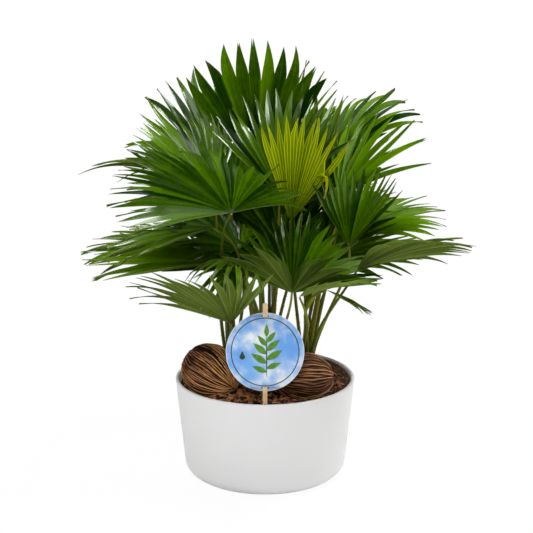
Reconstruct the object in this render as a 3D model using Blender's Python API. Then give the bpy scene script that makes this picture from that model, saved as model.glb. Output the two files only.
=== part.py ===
"""Footstool palm in a round white pot. Metres, +Z up; the origin is the centre of the pot's base.

Each fan blade, leaf stalk, stem base, husk, the label, its stick, the soil and the pot is its own solid.
"""

import math

import bmesh
import bpy
from mathutils import Matrix, Vector

# Driving dimensions of the pot and the soil in it
POT_HEIGHT = 0.131
RIM_RADIUS = 0.1200
FOOT_RADIUS = 0.1085
WALL = 0.0048
CORNER = 0.016
TURN_STEPS = 60
SOIL_TOP = 0.1180
SOIL_FLOOR = 0.0070
GAP = 0.0003

# Stem bases: place, height above the soil, radius
STEM_DEPTH = 0.022
STEM_SIDES = 14
STEMS = {
    "left": {"at": (-0.046, 0.022), "rise": 0.034, "radius": 0.0125},
    "right": {"at": (0.056, 0.012), "rise": 0.036, "radius": 0.0125},
    "front": {"at": (-0.004, -0.038), "rise": 0.024, "radius": 0.0115},
    "rear": {"at": (0.006, 0.052), "rise": 0.032, "radius": 0.0125},
}

# Leaf stalks: how far they lean out where they start, and, unless a leaf says otherwise, the angle
# between the stalk's end and the blade, and how straight both ends of the stalk run
STALK_FOOT_RADIUS = 0.0026
STALK_TIP_RADIUS = 0.0014
STALK_POINTS = 9
LEAN = 0.22
NECK = 35
PULL = 0.36
HUB_CLEARANCE = 0.0005

# Fan blades. A pleat's depth is a share of its width, and the segments part at the last ring.
BLADE_THICKNESS = 0.0007
HUB_RADIUS = 0.0045
PLEAT = 0.16
BLADE_RINGS = (0.30, 0.64)
SEGMENT_ANGLE = 18.0
FEWEST_SEGMENTS = 4
FULL_FOLD_AT = 40
BEND_STEPS = 8

# Each leaf, with angles in degrees: the stem that it grows from, its hub, the way that its middle
# segment points (azimuth from +X towards +Y, elevation), its roll about that line, its radius, and how
# far it spreads and folds up to the left and to the right. The cone is its funnel shape, bend and sag
# turn its tips down, and shrink is how much shorter its outer segments are. Neck and pull are its stalk's.
LEAVES = {
    "left_front": dict(stem="left", hub=(-0.041, -0.105, 0.373), azimuth=122, elevation=28, roll=0,
                       radius=0.167, spread=(96, 84), fold=(0, -4), cone=4, bend=16, sag=0.04, shrink=0.18,
                       neck=110, pull=0.3),
    "young": dict(stem="right", hub=(0.034, 0.045, 0.332), azimuth=90, elevation=82, roll=0,
                  radius=0.145, spread=(20, 40), fold=(8, 8), cone=0, bend=4, sag=0.0, shrink=0.05),
    "top": dict(stem="rear", hub=(-0.009, 0.125, 0.383), azimuth=90, elevation=80, roll=0,
                radius=0.188, spread=(42, 38), fold=(4, 4), cone=0, bend=6, sag=0.01, shrink=0.14),
    "top_left": dict(stem="rear", hub=(-0.060, 0.120, 0.378), azimuth=115, elevation=64, roll=0,
                     radius=0.168, spread=(56, 44), fold=(4, 4), cone=0, bend=8, sag=0.01, shrink=0.18),
    "left_upper": dict(stem="left", hub=(-0.066, 0.030, 0.372), azimuth=125, elevation=50, roll=0,
                       radius=0.139, spread=(88, 40), fold=(4, 4), cone=0, bend=6, sag=0.02, shrink=0.10),
    "centre": dict(stem="rear", hub=(0.020, 0.075, 0.364), azimuth=95, elevation=74, roll=0,
                   radius=0.150, spread=(48, 56), fold=(6, 6), cone=0, bend=6, sag=0.01, shrink=0.12),
    "right_top": dict(stem="right", hub=(0.095, 0.128, 0.394), azimuth=60, elevation=54, roll=-12,
                      radius=0.164, spread=(60, 50), fold=(4, 4), cone=0, bend=34, sag=0.08, shrink=0.10),
    "right_upper": dict(stem="right", hub=(0.098, 0.045, 0.368), azimuth=58, elevation=50, roll=-4,
                        radius=0.146, spread=(30, 66), fold=(4, 4), cone=0, bend=6, sag=0.02, shrink=0.08),
    "right_front": dict(stem="right", hub=(0.109, -0.014, 0.310), azimuth=75, elevation=60, roll=0,
                        radius=0.118, spread=(38, 52), fold=(4, 30), cone=0, bend=6, sag=0.0, shrink=0.12,
                        neck=70),
    "right_middle": dict(stem="right", hub=(0.115, 0.070, 0.304), azimuth=10, elevation=28, roll=8,
                         radius=0.142, spread=(80, 50), fold=(6, 6), cone=0, bend=22, sag=0.08, shrink=0.10),
    "right_low": dict(stem="right", hub=(0.118, -0.045, 0.288), azimuth=-20, elevation=29, roll=-20,
                      radius=0.16, spread=(48, 50), fold=(4, 4), cone=0, bend=20, sag=0.06, shrink=0.16),
    "front": dict(stem="front", hub=(0.034, -0.065, 0.262), azimuth=84, elevation=10, roll=16,
                  radius=0.127, spread=(140, 92), fold=(0, 0), cone=44, bend=14, sag=0.03, shrink=0.60,
                  neck=100),
    "left_front_low": dict(stem="front", hub=(-0.043, -0.048, 0.217), azimuth=-128, elevation=42, roll=0,
                           radius=0.156, spread=(56, 72), fold=(30, 0), cone=0, bend=24, sag=0.05,
                           shrink=0.10),
    "left_low": dict(stem="left", hub=(-0.082, 0.070, 0.281), azimuth=170, elevation=8, roll=-8,
                     radius=0.176, spread=(40, 50), fold=(4, 4), cone=0, bend=10, sag=0.03, shrink=0.12),
    "left_broad": dict(stem="front", hub=(-0.052, -0.030, 0.294), azimuth=177, elevation=3, roll=-8,
                       radius=0.188, spread=(30, 40), fold=(4, 4), cone=0, bend=6, sag=0.02, shrink=0.12),
    "left_back": dict(stem="left", hub=(-0.090, 0.110, 0.372), azimuth=166, elevation=20, roll=0,
                      radius=0.184, spread=(40, 44), fold=(40, 40), cone=0, bend=30, sag=0.04, shrink=0.20),
    "front_hanging": dict(stem="front", hub=(-0.034, -0.050, 0.300), azimuth=-125, elevation=14, roll=0,
                          radius=0.092, spread=(68, 34), fold=(0, 0), cone=0, bend=30, sag=0.04, shrink=0.10),
    "right_small": dict(stem="right", hub=(0.079, -0.050, 0.262), azimuth=-10, elevation=-22, roll=-10,
                        radius=0.066, spread=(22, 50), fold=(4, 4), cone=0, bend=10, sag=0.0, shrink=0.10),
    "front_right": dict(stem="right", hub=(0.043, -0.084, 0.262), azimuth=-30, elevation=24, roll=-8,
                        radius=0.112, spread=(24, 44), fold=(6, 6), cone=0, bend=10, sag=0.03, shrink=0.10,
                        neck=100),
    "right_folded": dict(stem="right", hub=(0.052, 0.006, 0.212), azimuth=20, elevation=62, roll=0,
                         radius=0.058, spread=(24, 24), fold=(60, 60), cone=0, bend=4, sag=0.0, shrink=0.20),
    "back_high": dict(stem="rear", hub=(0.006, 0.165, 0.360), azimuth=92, elevation=36, roll=0,
                      radius=0.150, spread=(70, 70), fold=(4, 4), cone=0, bend=22, sag=0.04, shrink=0.12),
    "back_left": dict(stem="rear", hub=(-0.070, 0.150, 0.320), azimuth=128, elevation=24, roll=0,
                      radius=0.146, spread=(80, 66), fold=(4, 4), cone=4, bend=20, sag=0.05, shrink=0.12),
    "back_right": dict(stem="rear", hub=(0.060, 0.150, 0.325), azimuth=70, elevation=26, roll=0,
                       radius=0.13, spread=(60, 60), fold=(4, 4), cone=4, bend=20, sag=0.05, shrink=0.12),
    "back_low": dict(stem="rear", hub=(0.010, 0.150, 0.245), azimuth=90, elevation=8, roll=0,
                     radius=0.140, spread=(110, 110), fold=(4, 4), cone=6, bend=20, sag=0.06, shrink=0.14),
}

COLOURS = {
    "pot": (0.80, 0.79, 0.78),
    "soil": (0.055, 0.028, 0.016),
    "husk": (0.16, 0.075, 0.032),
    "label": (0.36, 0.60, 0.92),
    "stick": (0.66, 0.42, 0.20),
    "stem": (0.19, 0.17, 0.05),
    "stalk": (0.13, 0.21, 0.035),
    "blade": (0.035, 0.16, 0.012),
    "young_blade": (0.30, 0.44, 0.02),
}
ROUGHNESS = {"pot": 0.35, "soil": 0.95, "husk": 0.8, "label": 0.35, "stick": 0.7, "stem": 0.7,
             "stalk": 0.45, "blade": 0.3, "young_blade": 0.4}


def clear_scene():
    for obj in list(bpy.data.objects):
        bpy.data.objects.remove(obj, do_unlink=True)


def material(slot):
    found = bpy.data.materials.get(slot)
    if found:
        return found
    made = bpy.data.materials.new(slot)
    made.use_nodes = True
    shader = made.node_tree.nodes["Principled BSDF"]
    shader.inputs["Base Color"].default_value = (*COLOURS[slot], 1.0)
    shader.inputs["Roughness"].default_value = ROUGHNESS[slot]
    shader.inputs["Metallic"].default_value = 0.0
    return made


def add_object(name, data, slot):
    obj = bpy.data.objects.new(name, data)
    obj.data.materials.append(material(slot))
    bpy.context.scene.collection.objects.link(obj)
    return obj


def mesh_from(name, points, faces):
    mesh = bpy.data.meshes.new(name)
    mesh.from_pydata(points, [], faces)
    mesh.update()
    return mesh


def closed_sheet(name, points, halves, faces, slot):
    """A sheet made solid: halves holds, for each point, the way and distance to its upper side."""
    count = len(points)
    upper = [p + h for p, h in zip(points, halves)]
    lower = [p - h for p, h in zip(points, halves)]
    used = {pair for face in faces for pair in zip(face, face[1:] + face[:1])}
    solid = [list(face) for face in faces]
    solid += [[i + count for i in reversed(face)] for face in faces]
    solid += [[b, a, a + count, b + count] for a, b in sorted(used) if (b, a) not in used]
    return add_object(name, mesh_from(name, upper + lower, solid), slot)


def turned(name, outline, slot, steps=TURN_STEPS):
    """A solid of revolution about the Z axis. The outline starts and ends on the axis."""
    shape = bmesh.new()
    corners = [shape.verts.new((r, 0.0, z)) for r, z in outline]
    edges = [shape.edges.new(pair) for pair in zip(corners, corners[1:])]
    bmesh.ops.spin(shape, geom=corners + edges, axis=(0, 0, 1), cent=(0, 0, 0),
                   steps=steps, angle=math.tau, use_duplicate=False)
    bmesh.ops.remove_doubles(shape, verts=shape.verts, dist=1e-6)
    bmesh.ops.recalc_face_normals(shape, faces=shape.faces)
    mesh = bpy.data.meshes.new(name)
    shape.to_mesh(mesh)
    shape.free()
    mesh.shade_smooth()
    mesh.set_sharp_from_angle(angle=math.radians(35))
    return add_object(name, mesh, slot)


def arc(centre, radius, start, end, count):
    """Points on an arc in the profile plane, angles in degrees."""
    turns = [math.radians(start + (end - start) * i / count) for i in range(count + 1)]
    return [(centre[0] + radius * math.cos(t), centre[1] + radius * math.sin(t)) for t in turns]


def outer_radius(z):
    """The pot's outer wall leans out evenly from the top of its rounded foot to the rim."""
    return FOOT_RADIUS + (RIM_RADIUS - FOOT_RADIUS) * (z - CORNER) / (POT_HEIGHT - CORNER)


def inner_radius(z):
    return outer_radius(z) - WALL


def pot():
    foot = arc((outer_radius(CORNER) - CORNER, CORNER), CORNER, -90, 0, 4)
    lip_outer = arc((RIM_RADIUS - WALL / 2, POT_HEIGHT - WALL / 2), WALL / 2, 0, 180, 4)
    inside_corner = CORNER * 0.8
    low = SOIL_FLOOR - GAP
    hollow = arc((inner_radius(low + inside_corner) - inside_corner, low + inside_corner),
                 inside_corner, 0, -90, 3)
    return turned("planter_pot", [(0, 0), *foot, *lip_outer, *hollow, (0, low)], "pot")


def blank(name, data):
    """A cutter: it is taken away from another piece and isn't part of the object."""
    obj = bpy.data.objects.new(name, data)
    bpy.context.scene.collection.objects.link(obj)
    obj.hide_render = True
    obj.display_type = "WIRE"
    return obj


def cut(target, cutter):
    boolean = target.modifiers.new("cut_" + cutter.name, "BOOLEAN")
    boolean.operation = "DIFFERENCE"
    boolean.solver = "EXACT"
    boolean.object = cutter


def soil():
    edge = GAP
    corner = CORNER * 0.8
    foot = arc((inner_radius(SOIL_FLOOR + corner) - corner - edge, SOIL_FLOOR + corner), corner, -90, 0, 3)
    rim = inner_radius(SOIL_TOP) - edge
    top = [(rim, SOIL_TOP - 0.002), (rim * 0.90, SOIL_TOP), (rim * 0.62, SOIL_TOP + 0.0015),
           (rim * 0.30, SOIL_TOP + 0.002)]
    return turned("potting_soil", [(0, SOIL_FLOOR), *foot, *top, (0, SOIL_TOP + 0.002)], "soil", 30)


def stem_outline(radius, rise, grow=0.0):
    """A sheathed stem base: a little thicker at the soil, narrowing to a flat top."""
    low = SOIL_TOP - STEM_DEPTH - grow
    return [(0, low), (radius * 0.62 + grow, low), (radius * 0.98 + grow, SOIL_TOP - 0.006),
            (radius + grow, SOIL_TOP + rise * 0.30), (radius * 0.90 + grow, SOIL_TOP + rise * 0.78),
            (radius * 0.80 + grow, SOIL_TOP + rise + grow), (0, SOIL_TOP + rise + grow)]


def stem_base(side, size):
    obj = turned("stem_base_" + side, stem_outline(size["radius"], size["rise"]), "stem", STEM_SIDES)
    obj.location = (*size["at"], 0)
    pocket_outline = stem_outline(size["radius"], size["rise"], GAP * 1.5)
    pocket = turned("pocket_" + side, pocket_outline, "stem", STEM_SIDES)
    pocket.location = obj.location
    pocket.hide_render = True
    pocket.display_type = "WIRE"
    return pocket


# Husks: centre, half sizes along their own axes, and the way the pointed end looks
HUSKS = {
    "left": dict(at=(-0.0705, -0.0280, 0.1445), half=(0.0405, 0.0360, 0.0335), azimuth=-38, tip=-22, turn=20),
    "right": dict(at=(0.0500, -0.0430, 0.1420), half=(0.0405, 0.0345, 0.0330), azimuth=-14, tip=-8, turn=-10),
}
HUSK_AROUND = 20
HUSK_ALONG = 12
HUSK_BLUNT = 0.06
HUSK_GROOVE = 0.10
HUSK_GROOVE_WIDTH = 0.30


def husk_mesh(name, half, grow=0.0):
    """An egg with a shallow groove along its top, its more pointed end at +X. A cutter has no groove."""
    points = [Vector((-half[0] - grow, 0, 0))]
    for i in range(1, HUSK_ALONG):
        along = math.pi * i / HUSK_ALONG
        girth = math.sin(along) * (1 + HUSK_BLUNT * math.cos(along))
        for j in range(HUSK_AROUND):
            around = math.tau * j / HUSK_AROUND
            from_top = (around - math.pi / 2) / HUSK_GROOVE_WIDTH
            groove = 1 - HUSK_GROOVE * math.exp(-from_top ** 2) if grow == 0 else 1
            points.append(Vector((-(half[0] + grow) * math.cos(along),
                                  (half[1] + grow) * girth * groove * math.cos(around),
                                  (half[2] + grow) * girth * groove * math.sin(around))))
    points.append(Vector((half[0] + grow, 0, 0)))
    last = len(points) - 1
    faces = []
    for j in range(HUSK_AROUND):
        k = (j + 1) % HUSK_AROUND
        faces.append([0, 1 + k, 1 + j])
        for i in range(HUSK_ALONG - 2):
            a = 1 + i * HUSK_AROUND
            b = a + HUSK_AROUND
            faces.append([a + j, a + k, b + k, b + j])
        end = 1 + (HUSK_ALONG - 2) * HUSK_AROUND
        faces.append([end + j, end + k, last])
    mesh = mesh_from(name, points, faces)
    mesh.shade_smooth()
    return mesh


def husk(side, size):
    place = (Matrix.Translation(size["at"])
             @ Matrix.Rotation(math.radians(size["azimuth"]), 4, "Z")
             @ Matrix.Rotation(math.radians(-size["tip"]), 4, "Y")
             @ Matrix.Rotation(math.radians(size["turn"]), 4, "X"))
    obj = add_object("husk_" + side, husk_mesh("husk_" + side, size["half"]), "husk")
    obj.matrix_world = place
    seat = blank("seat_" + side, husk_mesh("seat_" + side, size["half"], GAP * 2))
    seat.matrix_world = place
    return seat


# The label and the stick that it is threaded on, in the stick's own plane. Heights along the stick are
# from the soil's level, and the slots' two edges are given from the label's centre.
STICK_FOOT = (0.0, -0.0940)
STICK_LEAN = 14.0
STICK_WIDTH = 0.0060
STICK_THICKNESS = 0.0015
STICK_IN_SOIL = 0.035
STICK_TOP = 0.134
LABEL_RADIUS = 0.0500
LABEL_CENTRE = 0.0715
LABEL_THICKNESS = 0.0008
LABEL_STEP = 0.0015
SLOT_HALF = 0.00475
SLOT_NEAR = 0.0443
SLOT_FAR = 0.0467


def stick_plane():
    """X across the stick, Y away from the viewer's side, Z up along it from the soil."""
    return Matrix.Translation((*STICK_FOOT, SOIL_TOP)) @ Matrix.Rotation(math.radians(-STICK_LEAN), 4, "X")


def stick_mesh(name, grow=0.0):
    half = STICK_WIDTH / 2 + grow
    deep = STICK_THICKNESS / 2 + grow
    low = -STICK_IN_SOIL - grow
    top = STICK_TOP - STICK_WIDTH / 2
    outline = [(-half * 0.4, low), (half * 0.4, low), (half, low + 0.006)]
    outline += [(x, top + z) for x, z in arc((0, 0), half, 0, 180, 6)]
    outline += [(-half, low + 0.006)]
    count = len(outline)
    points = [Vector((x, -deep, z)) for x, z in outline] + [Vector((x, deep, z)) for x, z in outline]
    faces = [list(range(count)), list(range(2 * count - 1, count - 1, -1))]
    for i in range(count):
        j = (i + 1) % count
        faces.append([j, i, i + count, j + count])
    return mesh_from(name, points, faces)


def stick():
    obj = add_object("label_stick", stick_mesh("label_stick"), "stick")
    obj.matrix_world = stick_plane()
    slot = blank("stick_slot", stick_mesh("stick_slot", GAP))
    slot.matrix_world = stick_plane()
    return slot


def label():
    """A round card. Its middle lies before the stick; the two tabs past the slots lie behind it."""
    rows = [0, 0.016, 0.030, 0.039, SLOT_NEAR, SLOT_FAR, 0.0488, LABEL_RADIUS]
    rows = [-v for v in reversed(rows[1:])] + rows
    shares = [-1, -0.8, -0.5, None, None, 0.5, 0.8, 1]
    points, index = [], {}
    for i, v in enumerate(rows):
        wide = math.sqrt(max(LABEL_RADIUS ** 2 - v * v, 0))
        behind = abs(v) > (SLOT_NEAR + SLOT_FAR) / 2
        inner = min(SLOT_HALF, wide * 0.3)
        for j, share in enumerate(shares):
            x = inner * (-1 if j == 3 else 1) if share is None else share * wide
            if wide < 1e-6:
                index[i, j] = index.get((i, 0), len(points))
                if j:
                    continue
            else:
                index[i, j] = len(points)
            points.append(Vector((x, LABEL_STEP * (1 if behind else -1), LABEL_CENTRE + v)))
    faces = []
    for i in range(len(rows) - 1):
        slot_row = abs(abs(rows[i] + rows[i + 1]) / 2 - (SLOT_NEAR + SLOT_FAR) / 2) < 1e-6
        for j in range(len(shares) - 1):
            if slot_row and j == 3:
                continue
            face = [index[i, j], index[i, j + 1], index[i + 1, j + 1], index[i + 1, j]]
            face = [v for k, v in enumerate(face) if v != face[k - 1]]
            if len(face) > 2:
                faces.append(face)
    halves = [Vector((0, -LABEL_THICKNESS / 2, 0))] * len(points)
    obj = closed_sheet("plant_label", points, halves, faces, "label")
    obj.matrix_world = stick_plane()


def leaf_axes(leaf):
    """The blade's own axes: along its middle segment, to its left, and out of its upper face."""
    azimuth, elevation, roll = (math.radians(leaf[k]) for k in ("azimuth", "elevation", "roll"))
    along = Vector((math.cos(azimuth) * math.cos(elevation), math.sin(azimuth) * math.cos(elevation),
                    math.sin(elevation)))
    left = Vector((-math.sin(azimuth), math.cos(azimuth), 0))
    up = along.cross(left)
    turn = Matrix.Rotation(roll, 3, along)
    return along, turn @ left, turn @ up


def blade_point(leaf, axes, angle, reach):
    """A point of the unpleated fan at angle radians from its middle and reach (0 to 1) of its radius,
    with the direction out of the sheet there."""
    along, left, up = axes
    fold = leaf["fold"][0 if angle > 0 else 1]
    near = min(1.0, abs(angle) / math.radians(FULL_FOLD_AT))
    lift = math.radians(fold) * near * near * (3 - 2 * near)
    side = left * (math.sin(angle) * math.cos(lift)) + up * (abs(math.sin(angle)) * math.sin(lift))
    spoke = (along * math.cos(angle) + side).normalized()
    tangent = left * math.cos(angle) - along * math.sin(angle)
    out = spoke.cross(tangent - spoke * tangent.dot(spoke)).normalized()
    place = Vector((0, 0, 0))
    edge = leaf["spread"][0 if angle > 0 else 1]
    radius = leaf["radius"] * (1 - leaf["shrink"] * (math.degrees(angle) / edge) ** 2)
    length = reach * radius / BEND_STEPS
    for i in range(BEND_STEPS):
        share = reach * (i + 0.5) / BEND_STEPS
        rise = math.radians(leaf["cone"] - leaf["bend"] * share ** 1.5)
        place += (spoke * math.cos(rise) + out * math.sin(rise)) * length
    rise = math.radians(leaf["cone"] - leaf["bend"] * reach ** 1.5)
    normal = out * math.cos(rise) - spoke * math.sin(rise)
    place.z -= leaf["sag"] * radius * reach ** 3
    return place, normal


def blade(name, leaf):
    """A pleated fan: ridges where segments join, a valley along each segment, free pointed tips."""
    axes = leaf_axes(leaf)
    to_left, to_right = leaf["spread"]
    lines = 2 * max(FEWEST_SEGMENTS, round((to_left + to_right) / SEGMENT_ANGLE)) + 1
    first = -math.radians(to_right)
    step = math.radians(to_left + to_right) / (lines - 1)
    hub = Vector(leaf["hub"])
    points, halves, faces = [hub], [axes[2] * BLADE_THICKNESS / 2], []
    rings = (HUB_RADIUS / leaf["radius"], *BLADE_RINGS)
    for reach in rings:
        for j in range(lines):
            place, out = blade_point(leaf, axes, first + j * step, reach)
            pleat = (1 if j % 2 == 0 else -1) * PLEAT * step * reach * leaf["radius"]
            points.append(hub + place + out * pleat)
            halves.append(out * BLADE_THICKNESS / 2)
    for j in range(1, lines, 2):
        place, out = blade_point(leaf, axes, first + j * step, 1.0)
        points.append(hub + place)
        halves.append(out * BLADE_THICKNESS / 2)
    first_tip = 1 + len(rings) * lines
    for j in range(lines - 1):
        faces.append([0, 1 + j, 2 + j])
        for i in range(len(rings) - 1):
            a = 1 + i * lines + j
            faces.append([a, a + lines, a + lines + 1, a + 1])
        a = 1 + (len(rings) - 1) * lines + j
        faces.append([a, first_tip + j // 2, a + 1])
    slot = "young_blade" if name in ("young", "right_folded") else "blade"
    return closed_sheet("blade_" + name, points, halves, faces, slot)


def seats():
    """Where each stalk stands on its stem: evenly round the top, in the order of their headings."""
    found = {}
    for side, size in STEMS.items():
        centre = Vector((*size["at"], 0))
        own = [(name, Vector(leaf["hub"]) - centre) for name, leaf in LEAVES.items() if leaf["stem"] == side]
        own.sort(key=lambda item: math.atan2(item[1].y, item[1].x))
        count = len(own)
        turns = [math.atan2(v.y, v.x) - math.tau * i / count for i, (_, v) in enumerate(own)]
        start = math.atan2(sum(map(math.sin, turns)), sum(map(math.cos, turns)))
        ring = size["radius"] * 0.62 if count > 1 else 0.0
        for i, (name, _) in enumerate(own):
            heading = start + math.tau * i / count
            found[name] = centre + Vector((ring * math.cos(heading), ring * math.sin(heading), 0))
    return found


def bezier(controls, count):
    """Points along a cubic curve."""
    points = []
    for i in range(count):
        t = i / (count - 1)
        weights = ((1 - t) ** 3, 3 * t * (1 - t) ** 2, 3 * t * t * (1 - t), t ** 3)
        points.append(sum((c * w for c, w in zip(controls, weights)), Vector((0, 0, 0))))
    return points


def stalk_points(leaf, seat, top):
    """The stalk's middle line, from just above its stem to just under the middle of its blade."""
    along, _, up = leaf_axes(leaf)
    hub = Vector(leaf["hub"])
    neck = math.radians(leaf.get("neck", NECK))
    end_way = (along * math.cos(neck) + up * math.sin(neck)).normalized()
    end = hub - up * (BLADE_THICKNESS / 2 + HUB_CLEARANCE)
    start = Vector((seat.x, seat.y, top + GAP))
    outward = Vector((hub.x - seat.x, hub.y - seat.y, 0)).normalized()
    start_way = (Vector((0, 0, 1)) + outward * LEAN).normalized()
    span = (end - start).length
    pull = leaf.get("pull", PULL)
    points = bezier((start, start + start_way * span * PULL, end - end_way * span * pull, end), STALK_POINTS)
    first = (points[1] - points[0]).normalized()
    points[0].z += STALK_FOOT_RADIUS * math.sqrt(1 - first.z ** 2)
    last = (points[-1] - points[-2]).normalized()
    points[-1] -= up * STALK_TIP_RADIUS * math.sqrt(max(0, 1 - last.dot(up) ** 2))
    return points


def stalk(name, leaf, seat):
    """A tapering tube along the stalk's middle line, with closed ends."""
    points = stalk_points(leaf, seat, SOIL_TOP + STEMS[leaf["stem"]]["rise"])
    curve = bpy.data.curves.new("stalk_" + name, "CURVE")
    curve.dimensions = "3D"
    curve.bevel_depth = 1.0
    curve.bevel_resolution = 1
    curve.use_fill_caps = True
    line = curve.splines.new("POLY")
    line.points.add(STALK_POINTS - 1)
    for i, (point, place) in enumerate(zip(line.points, points)):
        point.co = (*place, 1)
        share = (i / (STALK_POINTS - 1)) ** 0.8
        point.radius = STALK_FOOT_RADIUS + (STALK_TIP_RADIUS - STALK_FOOT_RADIUS) * share
    add_object("stalk_" + name, curve, "stalk")


def main():
    clear_scene()
    pot()
    ground = soil()
    for side, size in STEMS.items():
        cut(ground, stem_base(side, size))
    for side, size in HUSKS.items():
        cut(ground, husk(side, size))
    cut(ground, stick())
    label()
    places = seats()
    for name, leaf in LEAVES.items():
        blade(name, leaf)
        stalk(name, leaf, places[name])


main()
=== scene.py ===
# Footstool palm in a round white pot: the looks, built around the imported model. Metres and degrees.
import random
from math import acos, atan2, cos, degrees, exp, pi, radians, sin, sqrt, tau

import bpy
from mathutils import Matrix, Vector, geometry, noise


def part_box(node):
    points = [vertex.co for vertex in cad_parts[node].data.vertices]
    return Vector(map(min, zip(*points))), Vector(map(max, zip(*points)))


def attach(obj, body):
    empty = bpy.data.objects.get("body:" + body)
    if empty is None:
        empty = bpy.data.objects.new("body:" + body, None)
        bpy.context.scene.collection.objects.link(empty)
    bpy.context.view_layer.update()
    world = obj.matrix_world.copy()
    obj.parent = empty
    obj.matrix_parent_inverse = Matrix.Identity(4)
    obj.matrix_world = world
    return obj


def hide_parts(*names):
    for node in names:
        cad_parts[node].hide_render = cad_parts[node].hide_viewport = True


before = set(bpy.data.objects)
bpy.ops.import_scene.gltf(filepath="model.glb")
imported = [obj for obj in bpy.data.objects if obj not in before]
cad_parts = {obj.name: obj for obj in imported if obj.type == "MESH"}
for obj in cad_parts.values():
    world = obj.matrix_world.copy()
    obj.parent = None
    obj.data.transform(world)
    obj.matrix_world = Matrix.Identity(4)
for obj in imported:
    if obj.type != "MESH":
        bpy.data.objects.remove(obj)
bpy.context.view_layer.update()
up = Vector((0, 0, 1))


# Helpers. An operator acts on all that is selected, so each step first selects its own piece.

def objectMode():
    if bpy.context.mode != "OBJECT":
        bpy.ops.object.mode_set(mode="OBJECT")


def editMode():
    bpy.ops.object.mode_set(mode="EDIT")


def selectOnly(*pieces):
    # The last piece is the active one
    objectMode()
    bpy.ops.object.select_all(action="DESELECT")
    for piece in pieces:
        piece.select_set(True)
        bpy.context.view_layer.objects.active = piece


def newPiece(addPrimitive, **settings):
    selectOnly()
    addPrimitive(**settings)
    return bpy.context.object


def newDisc(sides, radius, **settings):
    settings |= {"vertices": sides, "radius": radius, "fill_type": "NGON"}
    return newPiece(bpy.ops.mesh.primitive_circle_add, **settings)


def editAll(obj):
    # Edit mode with the whole mesh selected
    selectOnly(obj)
    editMode()
    bpy.ops.mesh.select_all(action="SELECT")


def applyAll(obj, smoothAngle=None):
    selectOnly(obj)
    for modifier in list(obj.modifiers):
        bpy.ops.object.modifier_apply(modifier=modifier.name)
    bpy.ops.object.transform_apply(location=True, rotation=True, scale=True)
    if smoothAngle is not None:
        bpy.ops.object.shade_smooth_by_angle(angle=radians(smoothAngle))


def joinAll(pieces):
    # Into the last piece
    selectOnly(*pieces)
    bpy.ops.object.join()
    return pieces[-1]


def bevelEdges(obj, chosen, width, steps):
    selectEdges(obj, chosen)
    editMode()
    bpy.ops.mesh.bevel(offset=width, segments=steps, affect="EDGES")
    objectMode()


def selectEdges(obj, chosen):
    # Only the edges whose two end points are as wanted
    objectMode()
    bpy.context.tool_settings.mesh_select_mode = (False, True, False)
    for item in (*obj.data.vertices, *obj.data.polygons):
        item.select = False
    for edge in obj.data.edges:
        edge.select = chosen(*(obj.data.vertices[i] for i in edge.vertices))


def cutAt(*planes):
    # Cuts the whole mesh, in edit mode, by planes given as a place and a normal
    for place, normal in planes:
        bpy.ops.mesh.select_all(action="SELECT")
        bpy.ops.mesh.bisect(plane_co=place, plane_no=normal)


def mergePoints(obj, distance=1e-6, outward=True):
    editAll(obj)
    bpy.ops.mesh.remove_doubles(threshold=distance)
    if outward:
        bpy.ops.mesh.normals_make_consistent(inside=False)
    objectMode()


def thicken(obj, thickness, offset=0, backMaterial=0):
    solid = obj.modifiers.new("thickness", "SOLIDIFY")
    solid.thickness = thickness
    solid.offset = offset
    solid.material_offset = solid.material_offset_rim = backMaterial


def copyOf(obj, place):
    twin = obj.copy()
    twin.data = obj.data.copy()
    twin.matrix_world = place
    bpy.context.scene.collection.objects.link(twin)
    return twin


def tagPoints(obj, **tags):
    # Numbers on the points that the materials read: one for each point, or one for all
    for name, values in tags.items():
        tag = obj.data.attributes.get(name) or obj.data.attributes.new(name, "FLOAT", "POINT")
        tag.data.foreach_set("value", values if isinstance(values, list) else [values] * len(tag.data))


def giveMaterials(obj, *names):
    obj.data.materials.clear()
    for name in names:
        obj.data.materials.append(bpy.data.materials[name])


def keepPiece(obj, name, replaced=None):
    obj.name = name
    obj.data.name = name
    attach(obj, "root")
    if replaced:
        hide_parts(replaced)


def finishPiece(obj, smoothAngle, material, name, replaced=None):
    applyAll(obj, smoothAngle)
    giveMaterials(obj, material)
    keepPiece(obj, name, replaced)


def levelWay(turn, length=1.0):
    return Vector((length * cos(turn), length * sin(turn), 0))


def blend(first, last, share):
    return first + (last - first) * share


def drawFrom(chance, least, spread, power=1):
    # A number from the least one up, over a spread, and more often low where the power is above 1
    return least + spread * chance.random() ** power


def eased(share):
    # From 0 to 1 with a soft start and end
    share = max(0.0, min(1.0, share))
    return share * share * (3 - 2 * share)


# Shader nodes. An input is a socket to link or a plain value.

def addNode(tree, kind, inputs=None, **settings):
    node = tree.nodes.new("ShaderNode" + kind)
    for key, value in settings.items():
        setattr(node, key, value)
    for key, value in (inputs or {}).items():
        if isinstance(value, bpy.types.NodeSocket):
            tree.links.new(value, node.inputs[key])
        else:
            node.inputs[key].default_value = value
    return node


def mathNode(tree, operation, first, second=0.0, clamp=False):
    return addNode(tree, "Math", {0: first, 1: second}, operation=operation, use_clamp=clamp).outputs[0]


def scaled(tree, value, times, plus=0.0, clamp=False):
    inputs = {0: value, 1: times, 2: plus}
    return addNode(tree, "Math", inputs, operation="MULTIPLY_ADD", use_clamp=clamp).outputs[0]


def contrasted(tree, value, contrast, middle=0.5, clamp=True):
    # How far the value is from a half, scaled, around a new middle
    return scaled(tree, mathNode(tree, "SUBTRACT", value, 0.5), contrast, middle, clamp)


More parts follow.
